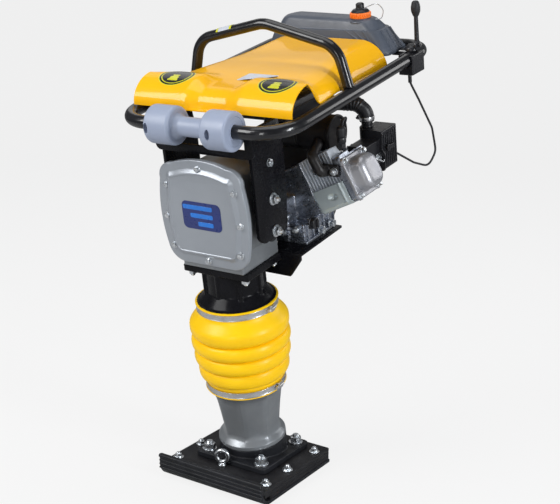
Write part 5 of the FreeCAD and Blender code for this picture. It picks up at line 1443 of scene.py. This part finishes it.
def make_controls():
    cast("throttle_mount", FINISH["black_plastic"], 1.2, 4)
    high = span("throttle_lever")[1]
    pivot = LEAN.inverted() @ Vector(JOINTS["throttle_swing"]["pos_m"])
    shape = bmesh.new()
    x = pivot.x
    add_peg(shape, [(12.6, -2.2, 1), (12.6, 2.4, 1), (7, 3.6, 1)], at(x, pivot.y, pivot.z, "right"), 40, 4)
    path = rounded([((x, pivot.y, pivot.z + 6), 0), ((x, pivot.y, pivot.z + 30), 30),
                    ((x, pivot.y, high.z - 34), 30), ((x, pivot.y, high.z - 26), 0)], False, 5)
    add_tube(shape, dense(path, 4), 5.6, sides=20, width=lambda share: 1 - 0.18 * share)
    piece("lever_stem", shape, FINISH["black_plastic"], ["throttle_lever"])
    shape = bmesh.new()
    grip = [(AXIS, high.z - 36), (5.4, high.z - 36, 1), (7.2, high.z - 33, 2), (10.6, high.z - 24, 5),
            (10.9, high.z - 14, 6), (8.2, high.z - 3, 4), (5, high.z - 0.4, 2), (AXIS, high.z)]
    add_turned(shape, flat(grip, False, 6), at(x, pivot.y, 0), 36)
    piece("lever_grip", shape, GRIP, body="throttle")
    shape = bmesh.new()
    dome = flat([(AXIS, 0), (17, 0, 1), (16, 7, 6), (9, 13, 5), (AXIS, 14)], False, 6)
    add_turned(shape, dome, at(x - 14, pivot.y, pivot.z - 12), 40)
    add_bolt(shape, at(x + 3.2, pivot.y, pivot.z, "right"), 5.5, 4, 0)
    fixture("lever_dome", shape, "black_plastic")
    cable_high = span("throttle_cable")[1]
    shape = bmesh.new()
    bend = 24
    path = rounded([((206, 480, cable_high.z), 0), ((206, 478, 820), bend), ((214, 505, 770), bend),
                    ((226, 545, 690), bend), ((232, 550, 630), bend), ((226, 520, 600), bend),
                    ((212, 470, 625), bend), ((196, 404, 672), 0)], False, 12)
    add_tube(shape, smooth_path(dense(path, 4), 10), 2.6, sides=14)
    ferrule = flat([(2, 0), (4.4, 0, 0.6), (4.4, 16, 0.6), (3.4, 22, 0.6), (2, 22)], True, 3)
    add_turned(shape, ferrule, at(206, 480, cable_high.z - 22), 20, closed=True)
    piece("throttle_cable_sleeve", shape, FINISH["black_rubber"], ["throttle_cable"])
    low, high = span("stop_switch")
    centre = (low + high) / 2
    shape = bmesh.new()
    deep = high.y - low.y
    button = flat([(AXIS, 0), (8.8, 0, 0.5), (8.8, 7, 1.2), (6.5, deep, 2), (AXIS, deep - 0.6)], False, 5)
    add_turned(shape, button, at(centre.x, low.y, centre.z, "rear"), 36)
    piece("stop_button", shape, FINISH["cap_orange"], ["stop_switch"])


def smooth_path(path, passes):
    """Even out the bends of a path, ends kept."""
    for _ in range(passes):
        inner = [(before + point * 2 + after) / 4 for before, point, after in zip(path, path[1:], path[2:])]
        path = [path[0], *inner, path[-1]]
    return path


def dress_the_rest():
    """Inner pieces keep their CAD shape and get their finish."""
    for node, item in frame["nodes"].items():
        if not item.hide_render:
            dress(node, FINISH[SLOT_OF[node]])


# ---------------------------------------------------------------- stage

def make_stage():
    mesh = bpy.data.meshes.new("floor")
    shape = bmesh.new()
    half, back, rise = 9.0, 7.0, 6.0
    profile = rounded([((-half, 0), 0), ((back, 0), 3.0), ((back, rise), 0)], False, 24)
    rows = [[shape.verts.new((x, point[0], point[1])) for point in profile] for x in (-half, half)]
    for index in range(len(profile) - 1):
        shape.faces.new((rows[0][index], rows[1][index], rows[1][index + 1], rows[0][index + 1]))
    shape.to_mesh(mesh)
    shape.free()
    mesh.shade_smooth()
    floor = bpy.data.objects.new("floor", mesh)
    bpy.context.scene.collection.objects.link(floor)
    floor.rotation_euler = (0, 0, math.radians(33))
    mesh.materials.append(floor_paper())


def floor_paper():
    """Pale paper that the camera sees evenly lit, with soft contact shadows."""
    material = finish_of("floor_paper", (0.50, 0.50, 0.50), 0.8, 0.0, (0.49, 0.49, 0.49), 3, 0.03, gloss=0.1)
    tree = material.node_tree
    lit = tree.nodes["Principled BSDF"].outputs[0]
    glow = add_node(tree, "Emission")
    glow.inputs["Color"].default_value = (1, 1, 1, 1)
    glow.inputs["Strength"].default_value = 1.0
    seen = add_node(tree, "MixShader")
    seen.inputs[0].default_value = 0.84
    tree.links.new(lit, seen.inputs[1])
    tree.links.new(glow.outputs[0], seen.inputs[2])
    final = add_node(tree, "MixShader")
    path = add_node(tree, "LightPath")
    tree.links.new(path.outputs["Is Camera Ray"], final.inputs[0])
    tree.links.new(lit, final.inputs[1])
    tree.links.new(seen.outputs[0], final.inputs[2])
    tree.links.new(final.outputs[0], tree.nodes["Material Output"].inputs["Surface"])
    return material


def area_light(name, place, aim, size, power, colour=(1, 1, 1)):
    data = bpy.data.lights.new(name, "AREA")
    data.shape = "RECTANGLE"
    data.size, data.size_y = size
    data.energy = power
    data.color = colour
    item = bpy.data.objects.new(name, data)
    item.location = place
    item.rotation_euler = (Vector(aim) - Vector(place)).to_track_quat("-Z", "Y").to_euler()
    bpy.context.scene.collection.objects.link(item)


def make_lights():
    scene = bpy.context.scene
    world = bpy.data.worlds.new("studio")
    world.use_nodes = True
    tree = world.node_tree
    background = tree.nodes["Background"]
    background.inputs["Strength"].default_value = 1
    path = add_node(tree, "LightPath")
    dim, bright = (0.16, 0.165, 0.175), (1.0, 1.0, 1.0)
    colour = blend_colour(tree, path.outputs["Is Camera Ray"], dim, bright)
    tree.links.new(colour, background.inputs["Color"])
    scene.world = world
    # name, place and aim in metres, size in metres, power in watts, colour
    area_light("key", (-1.5, -2.6, 2.4), (0, 0, 0.5), (1.9, 1.7), 88)
    area_light("top", (0.0, -0.1, 3.2), (0, 0.1, 0.8), (2.0, 2.0), 26)
    area_light("side", (3.0, -0.4, 1.3), (0, 0.1, 0.5), (0.5, 1.6), 62, (0.94, 0.97, 1))
    area_light("front_strip", (0.9, -3.2, 0.9), (0, 0, 0.4), (0.4, 1.6), 16)
    area_light("panel_card", (-1.75, 2.2, 2.65), (0, 0.1, 0.95), (2.6, 1.9), 9, (1, 0.98, 0.96))
    area_light("rim", (1.6, 2.6, 1.6), (0, 0.2, 0.6), (1.2, 1.2), 14)
    scene.view_settings.view_transform = "Standard"


def make_camera():
    """The place and heading that match the reference view."""
    place = Vector((1.3437, -1.9565, 1.1394))
    ahead = Vector((-0.52896, 0.81057, -0.25134)).normalized()
    roll = math.radians(0.70)
    scene = bpy.context.scene
    data = bpy.data.cameras.new("camera")
    data.lens = 69.66
    data.sensor_width = 36
    data.clip_end = 100
    camera = bpy.data.objects.new("camera", data)
    scene.collection.objects.link(camera)
    side = ahead.cross(Vector((0, 0, 1))).normalized()
    up = side.cross(ahead)
    right = side * math.cos(roll) + up * math.sin(roll)
    lift = up * math.cos(roll) - side * math.sin(roll)
    turn = Matrix((right, lift, -ahead)).transposed()
    camera.matrix_world = Matrix.Translation(place) @ turn.to_4x4()
    scene.camera = camera


HOOD_LOW, HOOD_HIGH = span("hood")
for maker in (make_shoe, make_foot, make_leg, make_bellows, make_crankcase, make_mounts, make_frame,
              make_roller, make_hood, make_tank, make_engine, make_controls, dress_the_rest,
              make_stage, make_lights, make_camera):
    maker()
